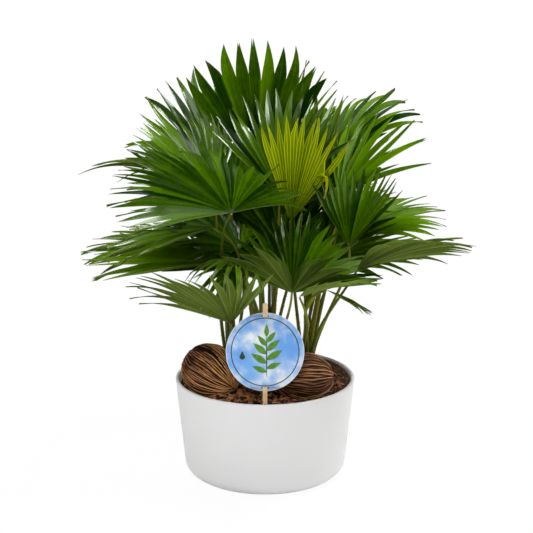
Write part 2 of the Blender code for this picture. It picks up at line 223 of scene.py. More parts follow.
def mixColour(tree, factor, first, second):
    inputs = {0: factor}
    for key, colour in ((6, first), (7, second)):
        inputs[key] = colour if isinstance(colour, bpy.types.NodeSocket) else (*colour, 1)
    return addNode(tree, "Mix", inputs, data_type="RGBA").outputs[2]


def readTag(tree, name):
    return addNode(tree, "Attribute", attribute_name=name).outputs["Fac"]


def objectPoint(tree, stretch=1.0):
    # Object coordinates, drawn out along Z when the stretch is below 1
    point = addNode(tree, "TexCoord").outputs["Object"]
    if stretch == 1.0:
        return point
    return addNode(tree, "Mapping", {"Vector": point, "Scale": (1, 1, stretch)}).outputs[0]


def centreDistance(tree, vector):
    return addNode(tree, "VectorMath", {0: vector}, operation="LENGTH").outputs["Value"]


def newGroup(name, numbers, results):
    # A group that takes a vector and named numbers, and puts out numbers
    tree = bpy.data.node_groups.new(name, "ShaderNodeTree")
    tree.interface.new_socket("Vector", in_out="INPUT", socket_type="NodeSocketVector")
    for label, value in numbers.items():
        socket = tree.interface.new_socket(label, in_out="INPUT", socket_type="NodeSocketFloat")
        socket.default_value = value
    for label in results:
        tree.interface.new_socket(label, in_out="OUTPUT", socket_type="NodeSocketFloat")
    return tree, tree.nodes.new("NodeGroupInput").outputs, tree.nodes.new("NodeGroupOutput").inputs


def patchGroup():
    # Two sizes of soft noise in one value, for tones that wander over a surface
    tree, given, result = newGroup("softPatches", {"Broad Scale": 20.0, "Fine Scale": 120.0, "Contrast": 1.0},
                                   ["Value"])
    broad = addNode(tree, "TexNoise", {"Vector": given[0], "Scale": given[1], "Detail": 3})
    fine = addNode(tree, "TexNoise", {"Vector": given[0], "Scale": given[2], "Detail": 2})
    both = scaled(tree, broad.outputs[0], 0.65, scaled(tree, fine.outputs[0], 0.35))
    tree.links.new(contrasted(tree, both, given[3]), result[0])
    return tree


def fibreGroup():
    # Long fibres along Z, for a vector that is drawn out along it
    tree, given, result = newGroup("longFibres", {"Scale": 40.0, "Sharpness": 2.0}, ["Value"])
    wave = addNode(tree, "TexNoise",
                   {"Vector": given[0], "Scale": given[1], "Detail": 4, "Roughness": 0.6})
    tree.links.new(contrasted(tree, wave.outputs[0], given[2]), result[0])
    return tree


def pleatGroup():
    # Lines along a fan's segments. The map's first number counts segments, and its second is the share of
    # the way from the middle of the fan to a tip.
    tree, given, result = newGroup("pleatLines", {"Veins": 7.0, "Line Width": 9.0},
                                   ["Midrib", "Fold", "Veins", "Reach"])
    parts = addNode(tree, "SeparateXYZ", {0: given[0]}).outputs
    away = mathNode(tree, "ABSOLUTE", mathNode(tree, "SUBTRACT", mathNode(tree, "FRACT", parts[0]), 0.5))
    midrib = mathNode(tree, "SUBTRACT", 1.0, scaled(tree, away, given[2]), clamp=True)
    fold = scaled(tree, mathNode(tree, "SUBTRACT", away, 0.40), given[2], clamp=True)
    turn = scaled(tree, scaled(tree, parts[0], given[1]), tau)
    veins = scaled(tree, mathNode(tree, "SINE", turn), 0.5, 0.5)
    for index, value in enumerate((midrib, fold, veins, parts[1])):
        tree.links.new(value, result[index])
    return tree


softPatches = patchGroup()
longFibres = fibreGroup()
pleatLines = pleatGroup()


def groupOn(tree, group, *inputs):
    return addNode(tree, "Group", dict(enumerate(inputs)), node_tree=group).outputs


def patchesOn(tree, vector, *numbers):
    return groupOn(tree, softPatches, vector, *numbers)[0]


def fibresOn(tree, vector, *numbers):
    return groupOn(tree, longFibres, vector, *numbers)[0]


# Materials

def newMaterial(name, roughness, specular=0.5):
    material = bpy.data.materials.new(name)
    material.use_nodes = True
    shader = material.node_tree.nodes["Principled BSDF"].inputs
    shader["Roughness"].default_value = roughness
    shader["Specular IOR Level"].default_value = specular
    return material.node_tree, shader


def paint(tree, colour, rough=None, height=None, bump=None):
    # Colour, roughness and a bump of some strength and distance, where they change over the surface
    shader = tree.nodes["Principled BSDF"].inputs
    tree.links.new(colour, shader["Base Color"])
    if rough:
        tree.links.new(rough, shader["Roughness"])
    if bump:
        inputs = {"Strength": bump[0], "Distance": bump[1], "Height": height}
        tree.links.new(addNode(tree, "Bump", inputs).outputs[0], shader["Normal"])


def mixSurfaces(tree, share, second):
    # Some of another shader in place of the plain one
    first = tree.nodes["Principled BSDF"].outputs[0]
    mix = addNode(tree, "MixShader", {0: share, 1: first, 2: second.outputs[0]})
    tree.links.new(mix.outputs[0], tree.nodes["Material Output"].inputs["Surface"])


# The two faces of a grown leaf and of the young one: deep to bright green, the ribs' colour and share, how
# strong the patches are, the gloss of the coat, and how much light comes through
leafFinishes = {
    "leafUpper": dict(deep=(0.005, 0.031, 0.0003), bright=(0.180, 0.385, 0.0008), rib=(0.220, 0.420, 0.003),
                      roughness=0.42, coat=0.60, ribShare=0.35, patches=0.9, glow=0.18),
    "leafUnder": dict(deep=(0.030, 0.058, 0.004), bright=(0.185, 0.270, 0.040), rib=(0.290, 0.340, 0.110),
                      roughness=0.50, coat=0.0, ribShare=0.80, patches=1.0, glow=0.16),
    "youngUpper": dict(deep=(0.045, 0.125, 0.0004), bright=(0.280, 0.400, 0.004), rib=(0.900, 0.900, 0.012),
                       roughness=0.46, coat=0.03, ribShare=1.10, patches=0.8, glow=0.30),
    "youngUnder": dict(deep=(0.300, 0.340, 0.003), bright=(0.560, 0.580, 0.010), rib=(0.650, 0.650, 0.030),
                       roughness=0.50, coat=0.0, ribShare=0.5, patches=0.8, glow=0.30),
}
leafPattern = dict(broad=22.0, fine=160.0, patchShare=0.7, veinShare=0.16, coatRoughness=0.17,
                   hubColour=(0.150, 0.150, 0.075), hubReach=1 / 16, hubShare=0.8,
                   dryColour=(0.150, 0.085, 0.030), dryRoughness=0.3, roughSpread=0.16,
                   bump=(0.35, 0.0003))


def leafMaterial(name):
    finish = leafPattern | leafFinishes[name]
    tree, shader = newMaterial(name, finish["roughness"], 0.0)
    coat = scaled(tree, readTag(tree, "shine"), finish["coat"], clamp=True)
    tree.links.new(coat, shader["Coat Weight"])
    shader["Coat Roughness"].default_value = finish["coatRoughness"]
    lines = groupOn(tree, pleatLines, addNode(tree, "UVMap").outputs[0])
    patches = patchesOn(tree, objectPoint(tree), finish["broad"], finish["fine"], finish["patches"])
    tone = readTag(tree, "tone")
    dry = readTag(tree, "dry")
    shade = contrasted(tree, patches, finish["patchShare"], tone, clamp=False)
    shade = scaled(tree, lines["Veins"], finish["veinShare"], shade, clamp=True)
    colour = mixColour(tree, shade, finish["deep"], finish["bright"])
    ribs = scaled(tree, mathNode(tree, "ADD", lines["Midrib"], lines["Fold"]), finish["ribShare"])
    ribs = scaled(tree, ribs, mathNode(tree, "ADD", tone, 0.25), clamp=True)
    colour = mixColour(tree, ribs, colour, finish["rib"])
    atHub = scaled(tree, lines["Reach"], -1 / finish["hubReach"], 1.0, clamp=True)
    colour = mixColour(tree, scaled(tree, atHub, finish["hubShare"]), colour, finish["hubColour"])
    colour = mixColour(tree, dry, colour, finish["dryColour"])
    rough = scaled(tree, patches, finish["roughSpread"], finish["roughness"] - finish["roughSpread"] / 2)
    rough = scaled(tree, dry, finish["dryRoughness"], rough)
    paint(tree, colour, rough, scaled(tree, patches, 0.8, lines["Veins"]), finish["bump"])
    through = addNode(tree, "BsdfTranslucent", {"Color": mixColour(tree, 0.5, colour, finish["bright"])})
    mixSurfaces(tree, finish["glow"], through)


stalkFinish = dict(green=(0.040, 0.090, 0.002), yellow=(0.330, 0.290, 0.022),
                   streak=(0.130, 0.160, 0.010), foot=(0.040, 0.018, 0.008), stretch=0.12,
                   streaks=(420.0, 1.6), patches=(26.0, 200.0, 1.6), patchShare=0.6, streakShare=0.35,
                   roughness=0.28, roughSpread=0.3, bump=(0.3, 0.0002))


def stalkMaterial():
    finish = stalkFinish
    tree, _ = newMaterial("stalkSkin", finish["roughness"], 0.15)
    streaks = fibresOn(tree, objectPoint(tree, finish["stretch"]), *finish["streaks"])
    patches = patchesOn(tree, objectPoint(tree), *finish["patches"])
    shade = contrasted(tree, patches, finish["patchShare"], readTag(tree, "tone"))
    colour = mixColour(tree, shade, finish["green"], finish["yellow"])
    colour = mixColour(tree, scaled(tree, streaks, finish["streakShare"]), colour, finish["streak"])
    colour = mixColour(tree, readTag(tree, "dry"), colour, finish["foot"])
    rough = scaled(tree, patches, finish["roughSpread"], finish["roughness"])
    paint(tree, colour, rough, streaks, finish["bump"])


# Finishes of two mixed colours. Patches are a broad and a fine scale and their contrast, fibres a scale and
# their sharpness, and a mark is a tag of the mesh with the pattern's share beside it.
dryFibre = dict(patches=(45, 420, 1.5), fibres=(900, 2.0), mark=("ridge", 0.55), roughness=0.78,
                specular=0.08, bump=(0.5, 0.0004))
looseSoil = dict(patches=(130, 700, 2.4), fibres=(700, 2.5), mark=("tone", 1.0), roughness=0.72,
                 roughSpread=0.2, specular=0.06, bump=(0.8, 0.0008))
printInk = dict(patches=(220, 900, 2.2), roughness=0.36)
mixedFinishes = {
    "potGlaze": dict(dark=(0.745, 0.735, 0.735), light=(0.775, 0.770, 0.772), patches=(9, 260, 0.8),
                     roughness=0.34, roughSpread=0.16, specular=0.25, bump=(0.12, 0.0006)),
    "darkSoil": dict(dark=(0.009, 0.004, 0.002), light=(0.100, 0.042, 0.018), **looseSoil),
    "barkChip": dict(dark=(0.010, 0.004, 0.002), light=(0.520, 0.215, 0.100), **looseSoil),
    "sheathFibre": dict(dark=(0.022, 0.012, 0.005), light=(0.150, 0.120, 0.045), **dryFibre),
    "huskFibre": dict(dark=(0.013, 0.0045, 0.002), light=(0.420, 0.175, 0.075), **dryFibre),
    "looseFibre": dict(dark=(0.500, 0.200, 0.065), light=(1.000, 0.560, 0.220),
                       **{**dryFibre, "roughness": 0.6}),
    "stickWood": dict(dark=(0.850, 0.500, 0.230), light=(1.000, 0.800, 0.500), fibres=(900, 2.2),
                      stretch=0.05, roughness=0.5, roughSpread=0.2, specular=0.35, bump=(0.4, 0.0002)),
    "cardBack": dict(dark=(0.74, 0.73, 0.70), light=(0.84, 0.83, 0.81), patches=(60, 900, 1.0),
                     roughness=0.5, specular=0.4, bump=(0.15, 0.0002)),
    "leafInk": dict(dark=(0.030, 0.150, 0.012), light=(0.180, 0.420, 0.030), **printInk),
    "darkInk": dict(dark=(0.020, 0.045, 0.012), light=(0.045, 0.080, 0.020), **printInk),
}


def mixedMaterial(name, dark, light, roughness, patches=None, fibres=None, stretch=1.0, mark=None,
                  roughSpread=0.0, specular=0.5, bump=None):
    tree, _ = newMaterial(name, roughness, specular)
    point = objectPoint(tree, stretch)
    grain = fibresOn(tree, point, *fibres) if fibres else patchesOn(tree, point, *patches)
    shade = patchesOn(tree, point, *patches) if patches else grain
    if mark:
        shade = contrasted(tree, shade, mark[1], readTag(tree, mark[0]))
    rough = scaled(tree, grain, roughSpread, roughness) if roughSpread else None
    paint(tree, mixColour(tree, shade, dark, light), rough, grain, bump)


labelPrint = dict(ring=0.862, ringWidth=0.013, rim=0.985, shift=(3.4, 7.3, 0.6), clouds=(1.25, 4.5, 4.2),
                  shades=(0.7, 2.0, 2.0), deepSky=(0.110, 0.330, 0.850), sky=(0.230, 0.520, 0.960),
                  cloud=(0.900, 0.945, 1.0), ringColour=(0.045, 0.055, 0.012),
                  rimColour=(0.85, 0.88, 0.92))


def labelMaterial():
    # Blue sky with soft clouds and a thin dark ring, on the label's own flat map
    tree, _ = newMaterial("labelPrint", 0.32)
    flat = addNode(tree, "UVMap").outputs[0]
    spot = addNode(tree, "Mapping", {"Vector": flat, "Location": labelPrint["shift"]}).outputs[0]
    clouds = mathNode(tree, "POWER", patchesOn(tree, spot, *labelPrint["clouds"]), 1.7)
    shades = patchesOn(tree, spot, *labelPrint["shades"])
    away = centreDistance(tree, flat)
    fromRing = mathNode(tree, "ABSOLUTE", mathNode(tree, "SUBTRACT", away, labelPrint["ring"]))
    onRing = mathNode(tree, "LESS_THAN", fromRing, labelPrint["ringWidth"])
    atRim = mathNode(tree, "GREATER_THAN", away, labelPrint["rim"])
    colour = mixColour(tree, shades, labelPrint["deepSky"], labelPrint["sky"])
    for share, key in ((clouds, "cloud"), (onRing, "ringColour"), (atRim, "rimColour")):
        colour = mixColour(tree, share, colour, labelPrint[key])
    paint(tree, colour, scaled(tree, shades, 0.1, 0.26))


for leafFinish in leafFinishes:
    leafMaterial(leafFinish)
for skinName, skinFinish in mixedFinishes.items():
    mixedMaterial(skinName, **skinFinish)
stalkMaterial()
labelMaterial()
print("materials made")


# Camera, lamps and a white surround
cameraSettings = dict(place=(0.0, -1.6131, 0.6676), down=13.481, turn=-0.068, lens=85.16, sensor=36)
lampSettings = {
    "keyBox": dict(place=(-1.2, -1.5, 1.9), size=1.5, power=26),
    "fillBox": dict(place=(1.5, -1.9, 0.9), size=1.4, power=6),
    "topBox": dict(place=(1.15, 0.15, 2.05), size=0.8, power=34),
    "backBox": dict(place=(-0.6, 1.1, 1.7), size=0.8, power=18),
    "sheenTop": dict(place=(1.05, -0.1, 2.05), size=2.4, power=290, glossOnly=True),
    "sheenBack": dict(place=(-0.85, 1.1, 1.8), size=1.0, power=60, glossOnly=True),
}
surround = dict(light=0.34, mirrored=0.16, floorWhite=0.94, shadowReach=0.22, shadowFade=0.25,
                aim=(0, 0, 0.3), floorRadius=6, floorDrop=0.0004, floorColour=(0.95, 0.95, 0.95, 1))


def addCamera():
    turn = (radians(90 - cameraSettings["down"]), 0, radians(cameraSettings["turn"]))
    camera = newPiece(bpy.ops.object.camera_add, location=cameraSettings["place"], rotation=turn)
    camera.data.lens = cameraSettings["lens"]
    camera.data.sensor_width = cameraSettings["sensor"]
    bpy.context.scene.camera = camera


def addLamps():
    for name, lamp in lampSettings.items():
        turn = (Vector(surround["aim"]) - Vector(lamp["place"])).to_track_quat("-Z", "Y").to_euler()
        made = newPiece(bpy.ops.object.light_add, type="AREA", location=lamp["place"], rotation=turn)
        made.name = name
        made.data.size = lamp["size"]
        made.data.energy = lamp["power"]
        made.visible_diffuse = made.visible_transmission = not lamp.get("glossOnly", False)


def addSky():
    # White where the camera sees it, and dimmer in reflections and as light
    world = bpy.data.worlds.new("whiteRoom")
    world.use_nodes = True
    bpy.context.scene.world = world
    tree = world.node_tree
    path = addNode(tree, "LightPath").outputs
    seen = mathNode(tree, "MAXIMUM", path["Is Camera Ray"], path["Is Transmission Ray"])
    strength = scaled(tree, seen, 1.0 - surround["light"], surround["light"])
    strength = scaled(tree, path["Is Glossy Ray"], surround["mirrored"] - surround["light"], strength)
    background = tree.nodes["Background"].inputs
    background["Color"].default_value = (1, 1, 1, 1)
    tree.links.new(strength, background["Strength"])


def addFloor():
    # White to the camera, all of it away from the pot and most of it near, where the shadow shows
    floor = newDisc(96, surround["floorRadius"], location=(0, 0, -surround["floorDrop"]))
    floor.name = "whiteFloor"
    tree, shader = newMaterial("floorWhite", 0.9, 0.1)
    shader["Base Color"].default_value = surround["floorColour"]
    off = mathNode(tree, "SUBTRACT", centreDistance(tree, objectPoint(tree)), surround["shadowReach"])
    far = mathNode(tree, "DIVIDE", off, surround["shadowFade"], clamp=True)
    share = mathNode(tree, "MAXIMUM", far, surround["floorWhite"])
    cameraRay = addNode(tree, "LightPath").outputs["Is Camera Ray"]
    share = scaled(tree, cameraRay, share)
    mixSurfaces(tree, share, addNode(tree, "Emission", {"Strength": 1.0}))
    giveMaterials(floor, "floorWhite")


addCamera()
addLamps()
addSky()
addFloor()
bpy.context.scene.view_settings.view_transform = "Standard"
print("camera, lamps and surround made")


# The pot, in the solid's own size
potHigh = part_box("planter_pot")[1]
potShape = dict(sides=128, rim=potHigh.x, height=potHigh.z, foot=0.1069, wall=0.0048, floor=0.0067,
                footRound=(0.016, 10), lipRound=(0.0023, 5), insideRound=(0.012, 6))


def growRing(rise, scale):
    bpy.ops.mesh.extrude_region_move(TRANSFORM_OT_translate={"value": (0, 0, rise)})
    bpy.ops.transform.resize(value=(scale, scale, 1), center_override=(0, 0, 0))


def roundLoop(obj, height, least, most, width, steps):
    # Bevels the ring of edges at one height whose distance from the axis lies between two radii
    def onRing(*ends):
        return all(abs(end.co.z - height) < 1e-4 and least < end.co.xy.length < most for end in ends)

    bevelEdges(obj, onRing, width, steps)


def addPot():
    foot, rim, wall, height, floor = (potShape[key] for key in ("foot", "rim", "wall", "height", "floor"))
    pot = newDisc(potShape["sides"], foot)
    editMode()
    bpy.ops.mesh.select_mode(type="FACE")
    growRing(height, rim / foot)
    bpy.ops.mesh.inset(thickness=wall)
    inner = blend(foot, rim, floor / height) - wall
    growRing(floor - height, inner / (rim - wall))
    roundLoop(pot, 0, foot * 0.9, rim, *potShape["footRound"])
    roundLoop(pot, height, rim * 0.9, rim * 1.1, *potShape["lipRound"])
    roundLoop(pot, floor, inner * 0.9, inner * 1.1, *potShape["insideRound"])
    mergePoints(pot)
    finishPiece(pot, 40, "potGlaze", "round_pot", "planter_pot")


addPot()
print("pot made")


# The leaves. Each one: the stem it grows from, its middle (hub), the way its middle segment points
# (azimuth from +X towards +Y, and elevation), its radius, and its spread to the left and right. Then,
# where it isn't as in leafDefaults: its roll, how far each side folds up, the funnel that it makes (cone,
# and lip for its far sides), how its tips bend and sag, how much shorter its outer segments are, the
# angle between stalk and blade (neck) and how straight the stalk runs to it (pull), its colour from 0,
# deep green, to 1, bright, with a painted light that lightens the tips and darkens the part near the hub,
# a painted sheen that lightens the left side, and the stalk's own share, its shine, the degrees that a
# segment takes, where its segments part (split), and which of them are short or hang down. They
# repeat the solids' own leaves.
leafDefaults = dict(roll=0, fold=(4, 4), cone=0, lip=0, bend=6, sag=0.02, shrink=0.12, shrinkPower=2,
                    neck=35, pull=0.36, tone=0.4, tipTone=0, sideTone=0, stalkTone=0, shine=0.08,
                    sideShine=0, segment=6.6, split=0.62, short=(), hanging=(), finish="leaf")


def leafAt(stem, hub, azimuth, elevation, radius, spread, **own):
    place = dict(stem=stem, hub=hub, azimuth=azimuth, elevation=elevation, radius=radius, spread=spread)
    return {**leafDefaults, **place, **own}


leaves = {
    "left_front": leafAt("left", (-0.041, -0.105, 0.373), 122, 28, 0.167, (96, 84), fold=(0, -4), cone=4,
        bend=16, sag=0.04, shrink=0.18, neck=110, pull=0.3, tone=0.05, sideTone=0.35, stalkTone=-0.3,
        shine=0.02, sideShine=3.2, segment=5.8, split=0.58),
    "young": leafAt("right", (0.034, 0.045, 0.332), 90, 82, 0.145, (20, 40), fold=(8, 8), bend=4, sag=0.0,
        shrink=0.05, tone=0.5, tipTone=0.9, segment=5.0, split=0.68, hanging=(10,), finish="young"),
    "top": leafAt("rear", (-0.009, 0.125, 0.383), 90, 80, 0.195, (42, 38), sag=0.01, shrink=0.15, tone=0.05,
        tipTone=0.3, shine=0.0, segment=7.0, split=0.78),
    "top_left": leafAt("rear", (-0.06, 0.12, 0.378), 115, 64, 0.168, (56, 44), bend=8, sag=0.01, shrink=0.18,
        tone=0.34, shine=1.8),
    "left_upper": leafAt("left", (-0.066, 0.03, 0.372), 125, 50, 0.139, (88, 40), shrink=0.1, tone=0.3,
        shine=2.0, segment=5.4),
    "centre": leafAt("rear", (0.02, 0.075, 0.364), 95, 74, 0.15, (48, 56), fold=(6, 6), sag=0.01, tone=0.2,
        shine=1.8),
    "right_top": leafAt("right", (0.095, 0.128, 0.394), 60, 54, 0.164, (60, 50), roll=-12, bend=34, sag=0.08,
        shrink=0.1, tone=0.22, shine=0.1),
    "right_upper": leafAt("right", (0.098, 0.045, 0.368), 58, 50, 0.146, (30, 66), roll=-4, shrink=0.08,
        tone=0.48, segment=9.2, split=0.45, short=(-2,)),
    "right_front": leafAt("right", (0.109, -0.014, 0.31), 75, 60, 0.118, (38, 52), fold=(4, 30), sag=0.0,
        neck=70, tone=0.1, shine=0.06),
    "right_middle": leafAt("right", (0.115, 0.07, 0.304), 10, 28, 0.142, (80, 50), roll=8, fold=(6, 6),
        bend=22, sag=0.08, shrink=0.1, tone=0.55),
    "right_low": leafAt("right", (0.118, -0.045, 0.288), -20, 29, 0.16, (48, 50), roll=-20, bend=20, sag=0.06,
        shrink=0.16, tone=0.34),
    "front": leafAt("front", (0.034, -0.065, 0.262), 84, 10, 0.127, (150, 150), roll=4, fold=(-22, -26),
        cone=44, bend=12, sag=0.03, shrink=0.66, shrinkPower=5, lip=44, neck=100, tone=0.1, shine=0.1,
        segment=7.6),
    "left_front_low": leafAt("front", (-0.043, -0.048, 0.217), -128, 42, 0.156, (56, 72), fold=(30, 0),
        bend=14, shrink=0.16, tone=0.5, segment=8, split=0.5),
    "left_low": leafAt("left", (-0.082, 0.07, 0.281), 170, 8, 0.176, (40, 50), roll=-8, bend=10, sag=0.03,
        tone=0.34, shine=0.5),
    "left_broad": leafAt("front", (-0.052, -0.03, 0.294), 177, 3, 0.188, (30, 40), roll=-8, tone=0.5),
    "left_back": leafAt("left", (-0.09, 0.11, 0.372), 166, 20, 0.184, (40, 44), fold=(40, 40), bend=30,
        sag=0.04, shrink=0.2, tone=0.3, segment=10, split=0.4, short=(0, 1, 3, 5, 7)),
    "front_hanging": leafAt("front", (-0.034, -0.05, 0.3), -125, 14, 0.092, (68, 34), fold=(0, 0), bend=48,
        sag=0.1, shrink=0.1, tone=0.35, segment=13, split=0.35),
    "right_small": leafAt("right", (0.079, -0.05, 0.262), -10, -22, 0.066, (22, 50), roll=-10, bend=10,
        sag=0.0, shrink=0.1, tone=0.5),
    "front_right": leafAt("right", (0.043, -0.084, 0.262), -30, 24, 0.112, (24, 44), roll=-8, fold=(6, 6),
        bend=10, sag=0.03, shrink=0.1, neck=100, tone=0.5),
    "right_folded": leafAt("right", (0.052, 0.006, 0.212), 20, 62, 0.058, (24, 24), fold=(60, 60), bend=4,
        sag=0.0, shrink=0.2, tone=0.3, segment=5.0, finish="young"),
    "back_high": leafAt("rear", (0.006, 0.165, 0.36), 92, 36, 0.15, (70, 70), bend=22, sag=0.04, tone=0.35),
    "back_left": leafAt("rear", (-0.07, 0.15, 0.32), 128, 24, 0.146, (80, 66), cone=4, bend=20, sag=0.05,
        tone=0.45),
    "back_right": leafAt("rear", (0.06, 0.15, 0.325), 70, 26, 0.13, (60, 60), cone=4, bend=20, sag=0.05),
    "back_low": leafAt("rear", (0.01, 0.15, 0.245), 90, 8, 0.14, (110, 110), cone=6, bend=20, sag=0.06,
        shrink=0.14, tone=0.35),
}
# Fans of the inner and back part of the plant, which have no solid of their own
innerLeaves = {
    "inner_left": leafAt("left", (-0.035, 0.02, 0.3), 160, 38, 0.13, (90, 90), bend=18, tone=0.08, shine=0.3),
    "inner_front": leafAt("front", (-0.01, 0.015, 0.288), -95, -4, 0.075, (95, 95), bend=20, tone=0.08,
        shine=0.0),
    "inner_middle": leafAt("rear", (0.02, 0.09, 0.29), 88, 66, 0.125, (110, 110), tone=0.04, shine=0.0),
    "inner_right": leafAt("right", (0.075, 0.055, 0.275), 50, 55, 0.125, (95, 95), tone=0.06, shine=0.0),
    "under_left": leafAt("left", (-0.058, 0.05, 0.262), 120, 34, 0.1, (80, 80), bend=18, tone=0.12,
        shine=1.2),
    "right_side": leafAt("right", (0.095, 0.035, 0.33), 34, 34, 0.095, (60, 60), segment=11),
    "left_side": leafAt("left", (-0.065, -0.045, 0.342), 178, -8, 0.15, (50, 60), bend=12, tone=0.3,
        shine=0.9),
    "behind_young": leafAt("right", (0.05, 0.1, 0.34), 68, 66, 0.176, (50, 56), tone=0.3, shine=0.8),
    "top_right": leafAt("rear", (0.014, 0.142, 0.37), 52, 77, 0.184, (22, 34), tone=0.5, shine=0.1,
        segment=7.4, split=0.5),
    "back_centre": leafAt("rear", (0.02, 0.112, 0.35), 86, 74, 0.15, (62, 62), tone=0.12),
    "hanging_front": leafAt("front", (-0.042, -0.028, 0.294), -112, -50, 0.08, (44, 44), tone=0.5, segment=15,
        split=0.35),
    "left_middle": leafAt("left", (-0.045, 0.08, 0.35), 112, 62, 0.15, (72, 60), tone=0.3, shine=2.0),
    "right_back_low": leafAt("right", (0.085, 0.075, 0.265), 15, 16, 0.15, (60, 60), bend=16, tone=0.3),
}
allLeaves = leaves | innerLeaves
fanBuild = dict(rows=18, columns=4, fewest=5, pleats=(0.78, 0.24), pleatOver=1.2, sheet=0.0005,
                fullFoldAt=40, lipFrom=90, lipOver=50, bendSteps=12, taper=1.6, splitSpread=0.10,
                lengthSpread=0.05, shortLength=0.66, curl=7, sway=2.2, twist=16, toneSpread=0.14,
                sheenLeast=0.2, sheenSpread=1.6, forked=0.15, forkDepth=0.05, forkWidth=0.09,
                dryShare=0.14, dryFrom=0.93, hangFrom=0.50, hangTo=0.64, hangTurn=160, hangAside=34,
                hangWider=1.4, hangShorter=0.16)


def solidOf(kind, name):
    # The solid that a grown leaf's blade or stalk replaces
    return None if name in innerLeaves else kind + name


def leafAxes(leaf):
    azimuth, elevation, roll = (radians(leaf[key]) for key in ("azimuth", "elevation", "roll"))
    along = Vector((cos(azimuth) * cos(elevation), sin(azimuth) * cos(elevation),
                    sin(elevation)))
    left = Vector((-sin(azimuth), cos(azimuth), 0))
    turn = Matrix.Rotation(roll, 3, along)
    return along, turn @ left, turn @ along.cross(left)


def riseAt(leaf, cone, share, hangs):
    # How far a segment has turned towards the upper face at this share of its length, in radians
    rise = cone - leaf["bend"] * share ** 1.5
    if hangs:
        fold = (share - fanBuild["hangFrom"]) / (fanBuild["hangTo"] - fanBuild["hangFrom"])
        rise += fanBuild["hangTurn"] * eased(fold)
    return radians(rise)


def fanPoint(leaf, axes, angle, reach, hangs):
    # The smooth fan under the pleats: a place from the hub, and the way out of its upper face
    along, left, out = axes
    side = 0 if angle > 0 else 1
    away = abs(degrees(angle))
    lift = radians(leaf["fold"][side]) * eased(away / fanBuild["fullFoldAt"])
    aside = left * (sin(angle) * cos(lift)) + out * (abs(sin(angle)) * sin(lift))
    spoke = (along * cos(angle) + aside).normalized()
    tangent = left * cos(angle) - along * sin(angle)
    face = spoke.cross(tangent - spoke * tangent.dot(spoke)).normalized()
    radius = leaf["radius"] * (1 - leaf["shrink"] * (away / leaf["spread"][side]) ** leaf["shrinkPower"])
    cone = leaf["cone"] + leaf["lip"] * eased((away - fanBuild["lipFrom"]) / fanBuild["lipOver"])
    steps = fanBuild["bendSteps"]
    place = Vector((0, 0, 0))
    for i in range(steps):
        rise = riseAt(leaf, cone, reach * (i + 0.5) / steps, hangs)
        place += (spoke * cos(rise) + face * sin(rise)) * (reach * radius / steps)
    place.z -= leaf["sag"] * radius * reach ** 3
    rise = riseAt(leaf, cone, reach, hangs)
    return place, face * cos(rise) - spoke * sin(rise)


def segmentHabits(name, leaf, count, chance):
    # Each segment's own length, curl, sway, twist, colour, dry tip, fork and shine
    build = fanBuild
    habits = [dict(length=1 - build["lengthSpread"] * chance.random(),
                   curl=radians(build["curl"]) * chance.gauss(0.3, 0.7),
                   sway=radians(build["sway"]) * chance.gauss(0, 0.6),
                   twist=radians(build["twist"]) * chance.gauss(0, 0.8),
                   tone=leaf["tone"] + chance.gauss(0, build["toneSpread"]),
                   dry=chance.random() < build["dryShare"],
                   fork=build["forkDepth"] * (0.6 + 0.8 * chance.random())
                   if chance.random() < build["forked"] else 0)
              for _ in range(count)]
    sheens = random.Random("sheen " + name)
    for habit in habits:
        habit["shine"] = build["sheenLeast"] + build["sheenSpread"] * sheens.random()
    for index in leaf["short"]:
        habits[index]["length"] = build["shortLength"]
    return habits


def gridPlace(co, count):
    # On the flat grid: how many segments from the left side, and the share of the way to the tips
    return (co.x + 1) / 2 * count, (co.y + 1) / 2


def splitFolds(fan, count, opens):
    # Parts the grid along each fold between two segments, from the row where it opens
    columns, rows = fanBuild["columns"], fanBuild["rows"]

    def opensHere(*ends):
        (firstX, firstY), (secondX, secondY) = (gridPlace(end.co, count) for end in ends)
        fold = round(firstX)
        onFold = max(abs(firstX - secondX), abs(firstX - fold)) * columns < 0.1
        return onFold and 0 < fold < count and min(firstY, secondY) * rows > opens[fold] - 0.1

    selectEdges(fan, opensHere)
    editMode()
    bpy.ops.mesh.edge_split(type="EDGE")
    objectMode()


